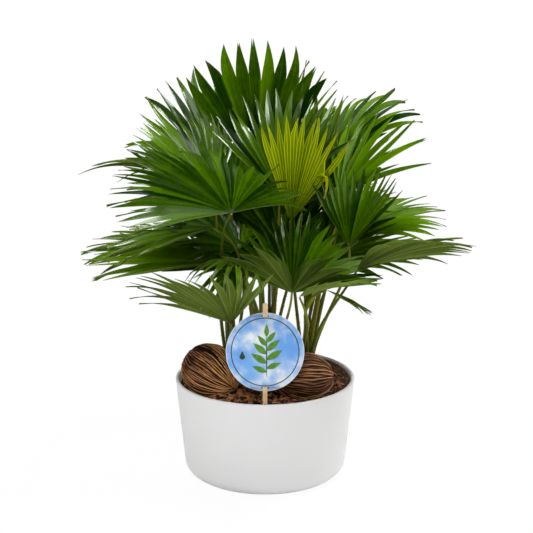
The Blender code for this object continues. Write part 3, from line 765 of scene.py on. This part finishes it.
def shapeFan(fan, leaf, habits, opens):
    # Bends the flat grid into the pleated leaf, one segment after another
    build = fanBuild
    points = fan.data.vertices
    count = len(habits)
    axes = leafAxes(leaf)
    hub = Vector(leaf["hub"])
    first = radians(leaf["spread"][0])
    step = radians(sum(leaf["spread"])) / count
    fanMap = fan.data.uv_layers.active.data
    tones, drys, shines = ([0.0] * len(points) for _ in range(3))
    owner = {}
    for face in fan.data.polygons:
        segment = min(count - 1, int(gridPlace(face.center, count)[0]))
        for loop, index in zip(face.loop_indices, face.vertices):
            owner[index] = segment
            fanMap[loop].uv = gridPlace(points[index].co, count)
    for index, segment in owner.items():
        habit = habits[segment]
        hangs = segment in leaf["hanging"]
        across, reach = gridPlace(points[index].co, count)
        across = (across - segment - 0.5) * 2  # From -1 to 1 over the segment
        # How free the point is: 0 up to where the folds beside it open, and 1 at the tip
        opened = [opens[segment] / build["rows"], opens[segment + 1] / build["rows"]]
        free = [max(0.0, (reach - share) / (1 - share)) for share in opened]
        side = 0 if across < 0 else 1
        middleFree = (free[0] + free[1]) / 2
        weight = middleFree + (free[side] - middleFree) * abs(across)
        narrow = opened[side] / reach * (1 - free[side] ** build["taper"]) if free[side] > 0 else 1.0
        long = 1 + (habit["length"] - 1) * min(1.0, weight * 2)
        if habit["fork"]:
            narrow += build["forkWidth"] * weight ** 4
            long -= habit["fork"] * (1 - abs(across)) * weight ** 3
        offset = -across * step / 2 * narrow
        middle = first - (segment + 0.5) * step
        if hangs:
            past = max(0.0, reach - build["hangFrom"]) / (1 - build["hangFrom"])
            middle -= radians(build["hangAside"]) * past
            narrow *= 1 + build["hangWider"] * past
            long *= 1 - build["hangShorter"] * past
        turn = habit["twist"] * weight
        angle = middle + habit["sway"] * weight ** 2 + offset * cos(turn)
        place, face = fanPoint(leaf, axes, angle, reach * long, hangs)
        width = step / 2 * narrow * reach * leaf["radius"]
        pleat = blend(*build["pleats"], min(1.0, reach * build["pleatOver"]))
        depth = width * (pleat * (abs(across) * 2 - 1) - across * sin(turn))
        depth -= habit["curl"] * leaf["radius"] * (1 - opened[side]) * weight ** 2
        points[index].co = hub + place + face * depth
        beside = max(0.0, middle / first)
        # Painted light in the tone: lighter towards the tips and darker near the hub, and on left_front a
        # painted sheen that lightens its left side
        tones[index] = habit["tone"] + leaf["tipTone"] * (reach - 0.5) + leaf["sideTone"] * beside ** 2
        shines[index] = habit["shine"] * (leaf["shine"] + leaf["sideShine"] * beside ** 5)
        if habit["dry"]:
            drys[index] = max(0.0, (reach - build["dryFrom"]) / (1 - build["dryFrom"]))
    tagPoints(fan, tone=tones, dry=drys, shine=shines)


def addFan(name, leaf):
    build = fanBuild
    chance = random.Random("fan " + name)
    count = max(build["fewest"], round(sum(leaf["spread"]) / leaf["segment"]))
    habits = segmentHabits(name, leaf, count, chance)
    opens = [round(build["rows"] * (leaf["split"] + build["splitSpread"] * (chance.random() - 0.5) * 2))
             for _ in range(count + 1)]
    fan = newPiece(bpy.ops.mesh.primitive_grid_add, size=2, x_subdivisions=count * build["columns"],
                   y_subdivisions=build["rows"])
    splitFolds(fan, count, opens)
    shapeFan(fan, leaf, habits, opens)
    mergePoints(fan, 2e-6, outward=False)
    thicken(fan, build["sheet"], backMaterial=1)
    finish = leaf["finish"]
    giveMaterials(fan, finish + "Upper", finish + "Under")
    applyAll(fan, 22)
    keepPiece(fan, "fan_" + name, solidOf("blade_", name))


for leafName, leafShape in allLeaves.items():
    addFan(leafName, leafShape)
print(len(allLeaves), "fans made")


# Stalks and stem bases. Places come from the stem bases' own boxes.
stemSides = ("left", "right", "front", "rear")
stalkShape = dict(radii=(0.0026, 0.0014), lean=0.22, gap=0.0003, below=0.00085, outerRing=0.62,
                  innerRing=0.25, curveSteps=28, roundness=3, tones=(0.25, 0.5, 2), dryFoot=0.8,
                  dryOver=0.012)
spineShape = dict(count=16, length=0.0021, radius=0.00055, hook=60, reach=(0.03, 0.72, 1.3), steps=40,
                  sizes=(0.7, 0.6), forward=0.2, sunk=0.8, tone=0.1, dry=0.85)


def stemPlace(side):
    low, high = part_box("stem_base_" + side)
    return Vector(((low.x + high.x) / 2, (low.y + high.y) / 2, high.z)), (high.x - low.x) / 2


def stalkSeats():
    # Round the top of each stem base in the order of the stalks' headings, the inner fans' near its axis
    found = {}
    for side in stemSides:
        centre, radius = stemPlace(side)
        own = []
        for name, leaf in allLeaves.items():
            if leaf["stem"] != side:
                continue
            towards = Vector(leaf["hub"]) - centre
            if name in innerLeaves:
                level = Vector((towards.x, towards.y, 0)).normalized()
                found[name] = centre + level * radius * stalkShape["innerRing"]
            else:
                own.append((atan2(towards.y, towards.x), name))
        own.sort()
        turns = [heading - tau * i / len(own) for i, (heading, _) in enumerate(own)]
        start = atan2(sum(map(sin, turns)), sum(map(cos, turns)))
        for i, (_, name) in enumerate(own):
            found[name] = centre + levelWay(start + tau * i / len(own)) * radius * stalkShape["outerRing"]
    return found


def addSpine():
    # One small hooked spine, to copy along the stalks
    spine = newPiece(bpy.ops.mesh.primitive_cone_add, vertices=5, radius1=spineShape["radius"], radius2=0,
                     depth=spineShape["length"])
    for point in spine.data.vertices:
        point.co.z += spineShape["length"] / 2
        point.co.x -= spineShape["hook"] * point.co.z ** 2
    tagPoints(spine, tone=spineShape["tone"], dry=spineShape["dry"])
    return spine


def tubeFrom(curve, radius, roundness, steps):
    # The active curve as a mesh, with closed ends
    curve.resolution_u = steps
    curve.bevel_depth = radius
    curve.bevel_resolution = roundness
    curve.use_fill_caps = True
    bpy.ops.object.convert(target="MESH")
    return bpy.context.object


def bentStalk(leaf, seat, endWay, out):
    # A tapered tube that leaves the stem base almost upright and meets the blade at its neck's angle, and
    # points along its middle
    hub = Vector(leaf["hub"])
    end = hub - out * stalkShape["below"]
    start = seat + up * stalkShape["gap"]
    outward = Vector((hub.x - seat.x, hub.y - seat.y, 0)).normalized()
    startWay = (up + outward * stalkShape["lean"]).normalized()
    span = (end - start).length
    shape = newPiece(bpy.ops.curve.primitive_bezier_curve_add).data
    shape.dimensions = "3D"
    foot, tip = shape.splines[0].bezier_points
    handles = ((start, start - startWay, start + startWay * span * leafDefaults["pull"]),
               (end, end - endWay * span * leaf["pull"], end + endWay))
    for point, (place, before, after) in zip((foot, tip), handles):
        point.handle_left_type = point.handle_right_type = "FREE"
        point.co, point.handle_left, point.handle_right = place, before, after
    foot.radius, tip.radius = stalkShape["radii"]
    ends = (foot.co, foot.handle_right, tip.handle_left, tip.co)
    line = geometry.interpolate_bezier(*ends, spineShape["steps"] + 1)
    return tubeFrom(shape, 1.0, stalkShape["roundness"], stalkShape["curveSteps"]), line


def addStalk(name, leaf, seat, spine):
    chance = random.Random("stalk " + name)
    along, _, out = leafAxes(leaf)
    neck = radians(leaf["neck"])
    endWay = (along * cos(neck) + out * sin(neck)).normalized()
    stalk, line = bentStalk(leaf, seat, endWay, out)
    tone = drawFrom(chance, *stalkShape["tones"]) + leaf["stalkTone"]
    heights = [(point.co.z - seat.z) / stalkShape["dryOver"] for point in stalk.data.vertices]
    tagPoints(stalk, tone=tone, dry=[max(0.0, stalkShape["dryFoot"] - height) for height in heights])
    side = out.cross(along).cross(endWay)
    spines = []
    for _ in range(spineShape["count"]):
        share = drawFrom(chance, *spineShape["reach"])
        index = int(share * spineShape["steps"])
        way = (line[index + 1] - line[index]).normalized()
        across = way.cross(up).normalized() * (1 if chance.random() < 0.5 else -1)
        across = (across + side * spineShape["forward"]).normalized()
        radius = blend(*stalkShape["radii"], share)
        turn = across.to_track_quat("Z", "X").to_matrix().to_4x4()
        size = Matrix.Scale(drawFrom(chance, *spineShape["sizes"]), 4)
        place = Matrix.Translation(line[index] + across * radius * spineShape["sunk"])
        spines.append(copyOf(spine, place @ turn @ size))
    joinAll([*spines, stalk])
    finishPiece(stalk, 45, "stalkSkin", "petiole_" + name, solidOf("stalk_", name))


sheathShape = dict(sides=48, rings=14, buried=0.016, ribs=0.0009, narrow=0.19, thin=0.98,
                   ribTone=(0.45, 0.6), fibres=46, fibreRadius=0.00022, fibreFoot=0.004, fibrePoints=6,
                   fibreReach=(0.98, 0.1), fibreRise=(0.75, 0.5), fibreSwing=0.25, fibreLean=(1.03, 0.90),
                   fibreLoose=0.0006, fibreFray=0.003)
strandLook = dict(tone=(0.35, 0.4), taper=0.7, steps=3)
strandTones = random.Random("strand tones")


def addStrand(points, radius):
    # A thin loose fibre: a smooth curve through a few points, made a mesh
    shape = newPiece(bpy.ops.curve.primitive_nurbs_path_add).data
    shape.splines.clear()
    line = shape.splines.new("NURBS")
    line.points.add(len(points) - 1)
    for i, (point, place) in enumerate(zip(line.points, points)):
        point.co = (*place, 1)
        point.radius = 1 - strandLook["taper"] * (i / (len(points) - 1)) ** 2
    line.use_endpoint_u = True
    line.order_u = 3
    strand = tubeFrom(shape, radius, 0, strandLook["steps"])
    tagPoints(strand, ridge=[drawFrom(strandTones, *strandLook["tone"]) for _ in strand.data.vertices])
    return strand


def sheathFibres(chance, centre, radius, foot, tall):
    strands = []
    for _ in range(sheathShape["fibres"]):
        turn = chance.random() * tau
        reach = radius * drawFrom(chance, *sheathShape["fibreReach"])
        rise = tall * drawFrom(chance, *sheathShape["fibreRise"])
        points = []
        for i in range(sheathShape["fibrePoints"]):
            share = i / (sheathShape["fibrePoints"] - 1)
            heading = turn + sheathShape["fibreSwing"] * share * chance.gauss(0, 1)
            spread = reach * blend(*sheathShape["fibreLean"], share)
            spread += sheathShape["fibreLoose"] * chance.random()
            spread += sheathShape["fibreFray"] * max(0, share - 0.8) * chance.gauss(0, 1)
            level = foot + sheathShape["fibreFoot"] + rise * share
            points.append(Vector((*centre.xy, level)) + levelWay(heading, spread))
        strands.append(addStrand(points, sheathShape["fibreRadius"]))
    return strands


def addSheath(side):
    # The swollen foot that the stalks stand in, wrapped in old leaf sheaths and their brown fibre
    chance = random.Random("sheath " + side)
    centre, radius = stemPlace(side)
    low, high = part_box("stem_base_" + side)
    foot = low.z + sheathShape["buried"] / 2
    tall = high.z - foot
    sheath = newPiece(bpy.ops.mesh.primitive_cylinder_add, vertices=sheathShape["sides"], radius=radius,
                      depth=tall, location=(*centre.xy, (foot + high.z) / 2), end_fill_type="NGON")
    applyAll(sheath)
    editAll(sheath)
    rings = sheathShape["rings"]
    cutAt(*[(up * (foot + tall * ring / rings), up) for ring in range(1, rings)])
    objectMode()
    ridges = []
    for point in sheath.data.vertices:
        away = Vector((point.co.x - centre.x, point.co.y - centre.y, 0))
        share = (point.co.z - foot) / tall
        turn = atan2(away.y, away.x)
        rib = noise.noise(levelWay(turn, 5) + up * (share * 1.5 + len(side)))
        rib += 0.5 * noise.noise(levelWay(turn, 14) + up * share * 2)
        away *= (1.0 - sheathShape["narrow"] * share) * sheathShape["thin"]
        if away.length > 1e-6:
            away += away.normalized() * rib * sheathShape["ribs"]
        point.co.xy = centre.xy + away.xy
        ridges.append(sheathShape["ribTone"][0] + rib * sheathShape["ribTone"][1])
    tagPoints(sheath, ridge=ridges)
    joinAll([*sheathFibres(chance, centre, radius, foot, tall), sheath])
    finishPiece(sheath, 60, "sheathFibre", "sheath_" + side, "stem_base_" + side)


seatOf = stalkSeats()
loneSpine = addSpine()
for leafName, leafShape in allLeaves.items():
    addStalk(leafName, leafShape, seatOf[leafName], loneSpine)
bpy.data.objects.remove(loneSpine)
for stemSide in stemSides:
    addSheath(stemSide)
print("stalks and sheaths made")


# Soil: a rough bed, with bark chips and coir on it
soilLow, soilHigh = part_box("potting_soil")
soilShape = dict(sides=120, rings=34, footShare=0.86, inside=0.0002, above=0.0004, rough=0.0020,
                 lumps=((70, 1.0), (190, 0.7), (420, 0.4)), crown=0.0018, edgeDrop=0.0012,
                 edgeOver=1 / 14, bank=0.0100, bankAt=42, huskShare=0.80, stickAt=0.010, stickHalf=0.005)
chipShape = dict(count=1200, kinds=7, sizes=((0.0090, 0.6, 1.0), (0.0055, 0.7, 0.6), (0.0034, 0.7, 0.8)),
                 corners=0.22, fromWall=0.004, rise=0.0012, heap=0.0026, clear=0.001, edgeDrop=0.0025,
                 edgeShare=0.94, edgeSize=0.6, knocks=(0.8, 0.4), scales=(0.5, 0.9, 2),
                 tones=(-0.1, 1.1, 1.2), tilts=(("X", 0.7), ("Y", 0.5)))
coirShape = dict(count=130, radius=0.0003, points=5, step=0.0035, wave=0.0014, waveStep=1.1, swing=0.5,
                 rise=0.0042, clear=0.003, fromWall=0.006)


def bankAt(place):
    # The soil is heaped against the wall on one side
    turn = radians(soilShape["bankAt"]) - atan2(place.y, place.x)
    facing = max(0.0, cos(turn)) ** 1.5
    return soilShape["bank"] * facing * min(1.0, place.xy.length / soilHigh.x) ** 5


def addSoilBed():
    radius = soilHigh.x - soilShape["inside"]
    top = soilHigh.z + soilShape["above"]
    bed = newDisc(soilShape["sides"], radius * soilShape["footShare"], location=(0, 0, soilLow.z))
    editMode()
    bpy.ops.mesh.select_mode(type="FACE")
    growRing(top - soilLow.z, 1 / soilShape["footShare"])
    for _ in range(soilShape["rings"]):
        bpy.ops.mesh.inset(thickness=radius / (soilShape["rings"] + 1))
    applyAll(bed)
    for point in bed.data.vertices:
        if point.co.z < top - 0.01:
            continue
        away = point.co.xy.length / radius
        edge = min(1.0, (1 - away) / soilShape["edgeOver"])
        rough = sum(share * noise.noise(point.co * scale) for scale, share in soilShape["lumps"])
        lift = soilShape["rough"] * rough * edge + soilShape["crown"] * (1 - away ** 2)
        point.co.z += lift - soilShape["edgeDrop"] * (1 - edge) + bankAt(point.co)
    tagPoints(bed, tone=0.5)
    mergePoints(bed)
    finishPiece(bed, 80, "darkSoil", "soil_bed", "potting_soil")


def addChip(kind):
    # A broken flake of bark: a block cut finer, with its corners knocked about
    chance = random.Random("chip %d" % kind)
    chip = newPiece(bpy.ops.mesh.primitive_cube_add, size=1)
    editMode()
    bpy.ops.mesh.subdivide(number_cuts=1)
    objectMode()
    size = [full * drawFrom(chance, *share) for full, *share in chipShape["sizes"]]
    for point in chip.data.vertices:
        rounding = 1 - chipShape["corners"] * max(0, sum(abs(c) > 0.4 for c in point.co) - 1)
        knocks = [rounding * drawFrom(chance, *chipShape["knocks"]) for _ in size]
        point.co = Vector([c * s * knock for c, s, knock in zip(point.co, size, knocks)])
    return chip


def keepOut():
    # The middle and half width of what stands in the soil
    low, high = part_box("label_stick")
    found = [(Vector(((low.x + high.x) / 2, low.y + soilShape["stickAt"])), soilShape["stickHalf"])]
    for node in ("husk_left", "husk_right", *("stem_base_" + side for side in stemSides)):
        low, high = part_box(node)
        half = max(high.x - low.x, high.y - low.y) / 2 * (soilShape["huskShare"] if "husk" in node else 1.0)
        found.append(((low + high).xy / 2, half))
    return found


def soilSpot(chance, reach, rise, heap, margin):
    # A clear place on the soil, and its distance from the axis
    while True:
        away = reach * sqrt(chance.random())
        turn = chance.random() * tau
        height = rise + (heap * chance.random() if heap else 0.0)
        place = levelWay(turn, away) + up * (soilHigh.z + height)
        if all((place.xy - middle).length >= half + margin for middle, half in soilKeepOut):
            return place, away


def addChips(chance):
    kinds = [addChip(kind) for kind in range(chipShape["kinds"])]
    chips = []
    reach = soilHigh.x - chipShape["fromWall"]
    for _ in range(chipShape["count"]):
        place, away = soilSpot(chance, reach, chipShape["rise"], chipShape["heap"], chipShape["clear"])
        place.z += bankAt(place) - chipShape["edgeDrop"] * (away / reach) ** 6
        size = drawFrom(chance, *chipShape["scales"])
        if away > reach * chipShape["edgeShare"]:
            size *= chipShape["edgeSize"]
        spin = Matrix.Rotation(chance.random() * tau, 4, "Z")
        for axis, tilt in chipShape["tilts"]:
            spin = spin @ Matrix.Rotation(chance.gauss(0, tilt), 4, axis)
        chip = copyOf(chance.choice(kinds), Matrix.Translation(place) @ spin @ Matrix.Scale(size, 4))
        tagPoints(chip, tone=drawFrom(chance, *chipShape["tones"]))
        chips.append(chip)
    heap = joinAll(chips)
    for kind in kinds:
        bpy.data.objects.remove(kind)
    finishPiece(heap, 40, "barkChip", "bark_chips")


def addCoir(chance):
    strands = []
    reach = soilHigh.x - chipShape["fromWall"] - coirShape["fromWall"]
    for _ in range(coirShape["count"]):
        place, _ = soilSpot(chance, reach, coirShape["rise"], 0.0, coirShape["clear"])
        heading = chance.random() * tau
        points = []
        for i in range(coirShape["points"]):
            wave = coirShape["wave"] * sin(i * coirShape["waveStep"] + heading)
            points.append(place + up * wave)
            heading += chance.gauss(0, coirShape["swing"])
            place = place + levelWay(heading) * coirShape["step"]
        strands.append(addStrand(points, coirShape["radius"]))
    finishPiece(joinAll(strands), 60, "looseFibre", "coir_strands")


soilKeepOut = keepOut()
soilChance = random.Random("soil pieces")
addSoilBed()
addChips(soilChance)
addCoir(soilChance)
print("soil made")


# Husks: fibrous eggs with ridges from end to end. They lie where the solids lie.
huskShapes = {
    "left": dict(half=(0.0405, 0.0360, 0.0335), azimuth=-38, tip=-22, turn=20, ridges=60, wave=0.13,
                 coarse=0.0015, strands=90, strandFrom=0.25, crease=0.0022),
    "right": dict(half=(0.0405, 0.0345, 0.0330), azimuth=18, tip=-4, turn=-10, ridges=54, wave=0.16,
                  coarse=0.0016, strands=24, strandFrom=0.15, crease=0.0010),
}
# The last four numbers set the husk's tone: its least, the painted highlight on ridge tops, the fine random
# tone, and the painted shade in the crease
huskBuild = dict(around=320, along=60, blunt=0.06, creaseWidth=0.10, fine=0.0004, strand=0.0005,
                 strandPoints=9, strandLift=0.0004, strandArch=0.0006, strandWander=0.022,
                 strandStart=(0.985, -0.1), strandSpread=0.35, wander=((1.0, 1.7, 0.9), (0.35, 5, 2.2)),
                 depth=0.85, depthChange=(0.4, 9, 2.4), toneAndPaintedLight=(-0.12, 1.05, 0.25, -0.8))


def huskPoint(shape, along, around):
    # A place on the ridged egg, the way out of it, and its tone: a fine random tone, with painted highlight
    # on the ridge tops and painted shade in the gaps between them and in the crease. Along runs from 0 at the
    # blunt end to pi, and around starts at the husk's side.
    ring = levelWay(around)

    def unevenness(times, across, lengthwise):
        return times * noise.noise(ring * across + up * along * lengthwise)

    turned = around + shape["wave"] * sum(unevenness(*scales) for scales in huskBuild["wander"])
    depth = huskBuild["depth"] + unevenness(*huskBuild["depthChange"])
    ridge = abs(sin(turned * shape["ridges"] / 2)) * depth
    fine = noise.noise(levelWay(turned, 30) + up * (along * 2.6 + 4))
    crease = exp(-((around - pi / 2) / huskBuild["creaseWidth"]) ** 2)
    fade = min(1.0, sin(along) * 2.2)
    lift = (shape["coarse"] * (ridge - 0.6) + huskBuild["fine"] * fine - shape["crease"] * crease) * fade
    girth = sin(along) * (1 + huskBuild["blunt"] * cos(along))
    egg = (-cos(along), girth * ring.x, girth * ring.y)
    place = Vector([share * half for share, half in zip(egg, shape["half"])])
    out = Vector([share / half for share, half in zip(egg, shape["half"])]).normalized()
    # Painted light: ridge tops lighter as painted highlight, the gaps and the crease darker as painted shade
    least, ridgeHighlight, onFine, creaseShade = huskBuild["toneAndPaintedLight"]
    light = least + ridgeHighlight * ridge ** 2.5 + onFine * fine + creaseShade * crease
    return place + out * lift, out, light


def huskStrands(shape, chance):
    # Loose fibres that run back from the tip
    strands = []
    for _ in range(shape["strands"]):
        around = chance.random() * tau
        start = pi * drawFrom(chance, *huskBuild["strandStart"])
        end = pi * drawFrom(chance, shape["strandFrom"], huskBuild["strandSpread"])
        points = []
        for i in range(huskBuild["strandPoints"]):
            share = i / (huskBuild["strandPoints"] - 1)
            place, out, _ = huskPoint(shape, blend(start, end, share), around)
            arch = huskBuild["strandArch"] * sin(share * pi) * chance.random()
            points.append(place + out * (huskBuild["strandLift"] + arch))
            around += chance.gauss(0, huskBuild["strandWander"])
        strands.append(addStrand(points, huskBuild["strand"]))
    return joinAll(strands)


def addHusk(side):
    shape = huskShapes[side]
    low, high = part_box("husk_" + side)
    husk = newPiece(bpy.ops.mesh.primitive_uv_sphere_add, segments=huskBuild["around"], radius=1,
                    ring_count=huskBuild["along"], rotation=(0, radians(90), 0))
    applyAll(husk)
    toneAndPaintedLight = []
    for point in husk.data.vertices:
        along = acos(max(-1.0, min(1.0, -point.co.x)))
        point.co, _, light = huskPoint(shape, along, atan2(point.co.z, point.co.y))
        toneAndPaintedLight.append(light)
    # The tone with its painted highlight and shade goes on the points as a tag
    tagPoints(husk, ridge=toneAndPaintedLight)
    strands = huskStrands(shape, random.Random("husk " + side))
    turns = (("azimuth", 1, "Z"), ("tip", -1, "Y"), ("turn", 1, "X"))
    lie = Matrix.Translation((low + high) / 2)
    for key, way, axis in turns:
        lie = lie @ Matrix.Rotation(radians(way * shape[key]), 4, axis)
    husk.matrix_world = strands.matrix_world = lie
    finishPiece(husk, 70, "huskFibre", "seed_husk_" + side, "husk_" + side)
    finishPiece(strands, 70, "looseFibre", "husk_strands_" + side)


for huskSide in huskShapes:
    addHusk(huskSide)
print("husks made")


# The label on its stick. Both are made upright at the origin, facing -Y, and then leant back together.
stickShape = dict(lean=14.0, footY=-0.0940, soilTop=0.1180, width=0.0060, thick=0.0015, inSoil=0.035,
                  top=0.134, edge=0.0002)
labelShape = dict(radius=0.0500, middle=0.0715, thick=0.0006, step=0.0015, slotHalf=0.00475,
                  slotNear=0.0443, slotFar=0.0467, bendNear=0.0433, bendFar=0.0477, sides=160)
stickPlace = (Matrix.Translation((0, stickShape["footY"], stickShape["soilTop"]))
              @ Matrix.Rotation(radians(-stickShape["lean"]), 4, "X"))
labelPlace = stickPlace @ Matrix.Translation((0, 0, labelShape["middle"]))


def addStick():
    half = stickShape["width"] / 2
    stick = newPiece(bpy.ops.mesh.primitive_cube_add, size=1)
    stick.scale = (stickShape["width"], stickShape["thick"], stickShape["inSoil"] + stickShape["top"])
    stick.location = (0, 0, (stickShape["top"] - stickShape["inSoil"]) / 2)
    applyAll(stick)

    def atCorner(first, second):
        atTop = all(abs(end.co.x) > half * 0.9 and end.co.z > 0 for end in (first, second))
        return atTop and abs(first.co.y - second.co.y) > 1e-4

    bevelEdges(stick, atCorner, half * 0.98, 8)
    soft = stick.modifiers.new("edges", "BEVEL")
    soft.width = stickShape["edge"]
    soft.segments = 2
    soft.angle_limit = radians(50)
    stick.matrix_world = stickPlace
    finishPiece(stick, 40, "stickWood", "wooden_stick", "label_stick")


def standingDisc(sides, radius):
    disc = newDisc(sides, radius, rotation=(radians(90), 0, 0))
    applyAll(disc)
    return disc


def facesForward(card):
    # The printed side looks towards -Y
    if sum(face.normal.y * face.area for face in card.data.polygons) > 0:
        editAll(card)
        bpy.ops.mesh.flip_normals()
        objectMode()


def labelStep(height):
    # The middle of the card lies before the stick, and its two tabs behind it
    bend = (abs(height) - labelShape["bendNear"]) / (labelShape["bendFar"] - labelShape["bendNear"])
    return labelShape["step"] * (2 * eased(bend) - 1)


def cutSlots(card):
    # Two slots for the stick, and more cuts beside them where the card bends
    near, far, half = (labelShape[key] for key in ("slotNear", "slotFar", "slotHalf"))
    bends = [labelShape["bendNear"], near, (near + far) / 2, far, labelShape["bendFar"]]
    heights = [0, 0.02, -0.02, *bends, *(-height for height in bends)]
    editAll(card)
    cutAt(*[(up * height, up) for height in heights], *[((x, 0, 0), (1, 0, 0)) for x in (-half, half)])
    objectMode()
    bpy.context.tool_settings.mesh_select_mode = (False, False, True)
    for face in card.data.polygons:
        face.select = near < abs(face.center.z) < far and abs(face.center.x) < half
    editMode()
    bpy.ops.mesh.delete(type="FACE")
    objectMode()


def addLabel():
    card = standingDisc(labelShape["sides"], labelShape["radius"])
    cutSlots(card)
    for loop, spot in zip(card.data.loops, card.data.uv_layers.active.data):
        co = card.data.vertices[loop.vertex_index].co
        spot.uv = (co.x / labelShape["radius"], co.z / labelShape["radius"])
    for point in card.data.vertices:
        point.co.y = labelStep(point.co.z)
    facesForward(card)
    thicken(card, labelShape["thick"], backMaterial=1)
    giveMaterials(card, "labelPrint", "cardBack")
    card.matrix_world = labelPlace
    applyAll(card, 30)
    keepPiece(card, "round_label", "plant_label")


# A sprig of oval leaves and a drop, printed on the label. Each pair of leaves: height, length and lean
sprigPairs = ((0.0120, 0.0185, 50), (0.0015, 0.0225, 40), (-0.0100, 0.0240, 32), (-0.0210, 0.0200, 22))
sprigShape = dict(sides=28, wide=0.36, print=0.00018, above=0.00004, stem=0.0007, stemFoot=-0.0330,
                  stemTop=0.0220, topLeaf=(0.0190, 90, 0.0170), lower=0.0045, shift=0.0020, drop=0.0036,
                  dropAt=(-0.0290, -0.0060))


def addPrinted(outline):
    # A flat closed shape on the label's face; outline takes an angle from -pi to pi and gives x and z
    flat = standingDisc(sprigShape["sides"], 1)
    for point in flat.data.vertices:
        x, z = outline(atan2(point.co.z, point.co.x))
        point.co = Vector((x, -labelShape["step"] - labelShape["thick"] / 2 - sprigShape["above"], z))
    facesForward(flat)
    thicken(flat, sprigShape["print"], offset=1)
    flat.matrix_world = labelPlace
    applyAll(flat)
    return flat


def sprigLeaf(z, lean, length):
    # A pointed oval that starts on the stem and leans away from it
    turn = radians(lean)
    along = Vector((cos(turn), sin(turn)))
    across = Vector((-along.y, along.x))

    def outline(angle):
        share = (1 - cos(angle)) / 2
        half = sprigShape["wide"] * length * sin(pi * share ** 0.8) ** 1.1 / 2
        place = Vector((0, z)) + along * (share * length) + across * half * (1 if angle > 0 else -1)
        return place.x + sprigShape["shift"], place.y

    return outline


def stemOutline(angle):
    rise = (sin(angle) + 1) / 2 * (sprigShape["stemTop"] - sprigShape["stemFoot"])
    return sprigShape["shift"] + cos(angle) * sprigShape["stem"], sprigShape["stemFoot"] + rise


def dropOutline(angle):
    high = max(0.0, sin(angle))
    x, z = sprigShape["dropAt"]
    return (x + sprigShape["drop"] * cos(angle) * (1 - 0.3 * high),
            z + sprigShape["drop"] * (sin(angle) + 0.9 * high ** 4))


def addSprig():
    sprigLeaves = [sprigShape["topLeaf"]]
    for height, length, lean in sprigPairs:
        sprigLeaves += [(height, lean, length), (height - sprigShape["lower"], 180 - lean, length)]
    for name, ink, outlines in (("label_sprig", "leafInk", [sprigLeaf(*leaf) for leaf in sprigLeaves]),
                                ("label_stem_and_drop", "darkInk", [dropOutline, stemOutline])):
        finishPiece(joinAll([addPrinted(outline) for outline in outlines]), None, ink, name)


addStick()
addLabel()
addSprig()
print("label and stick made")
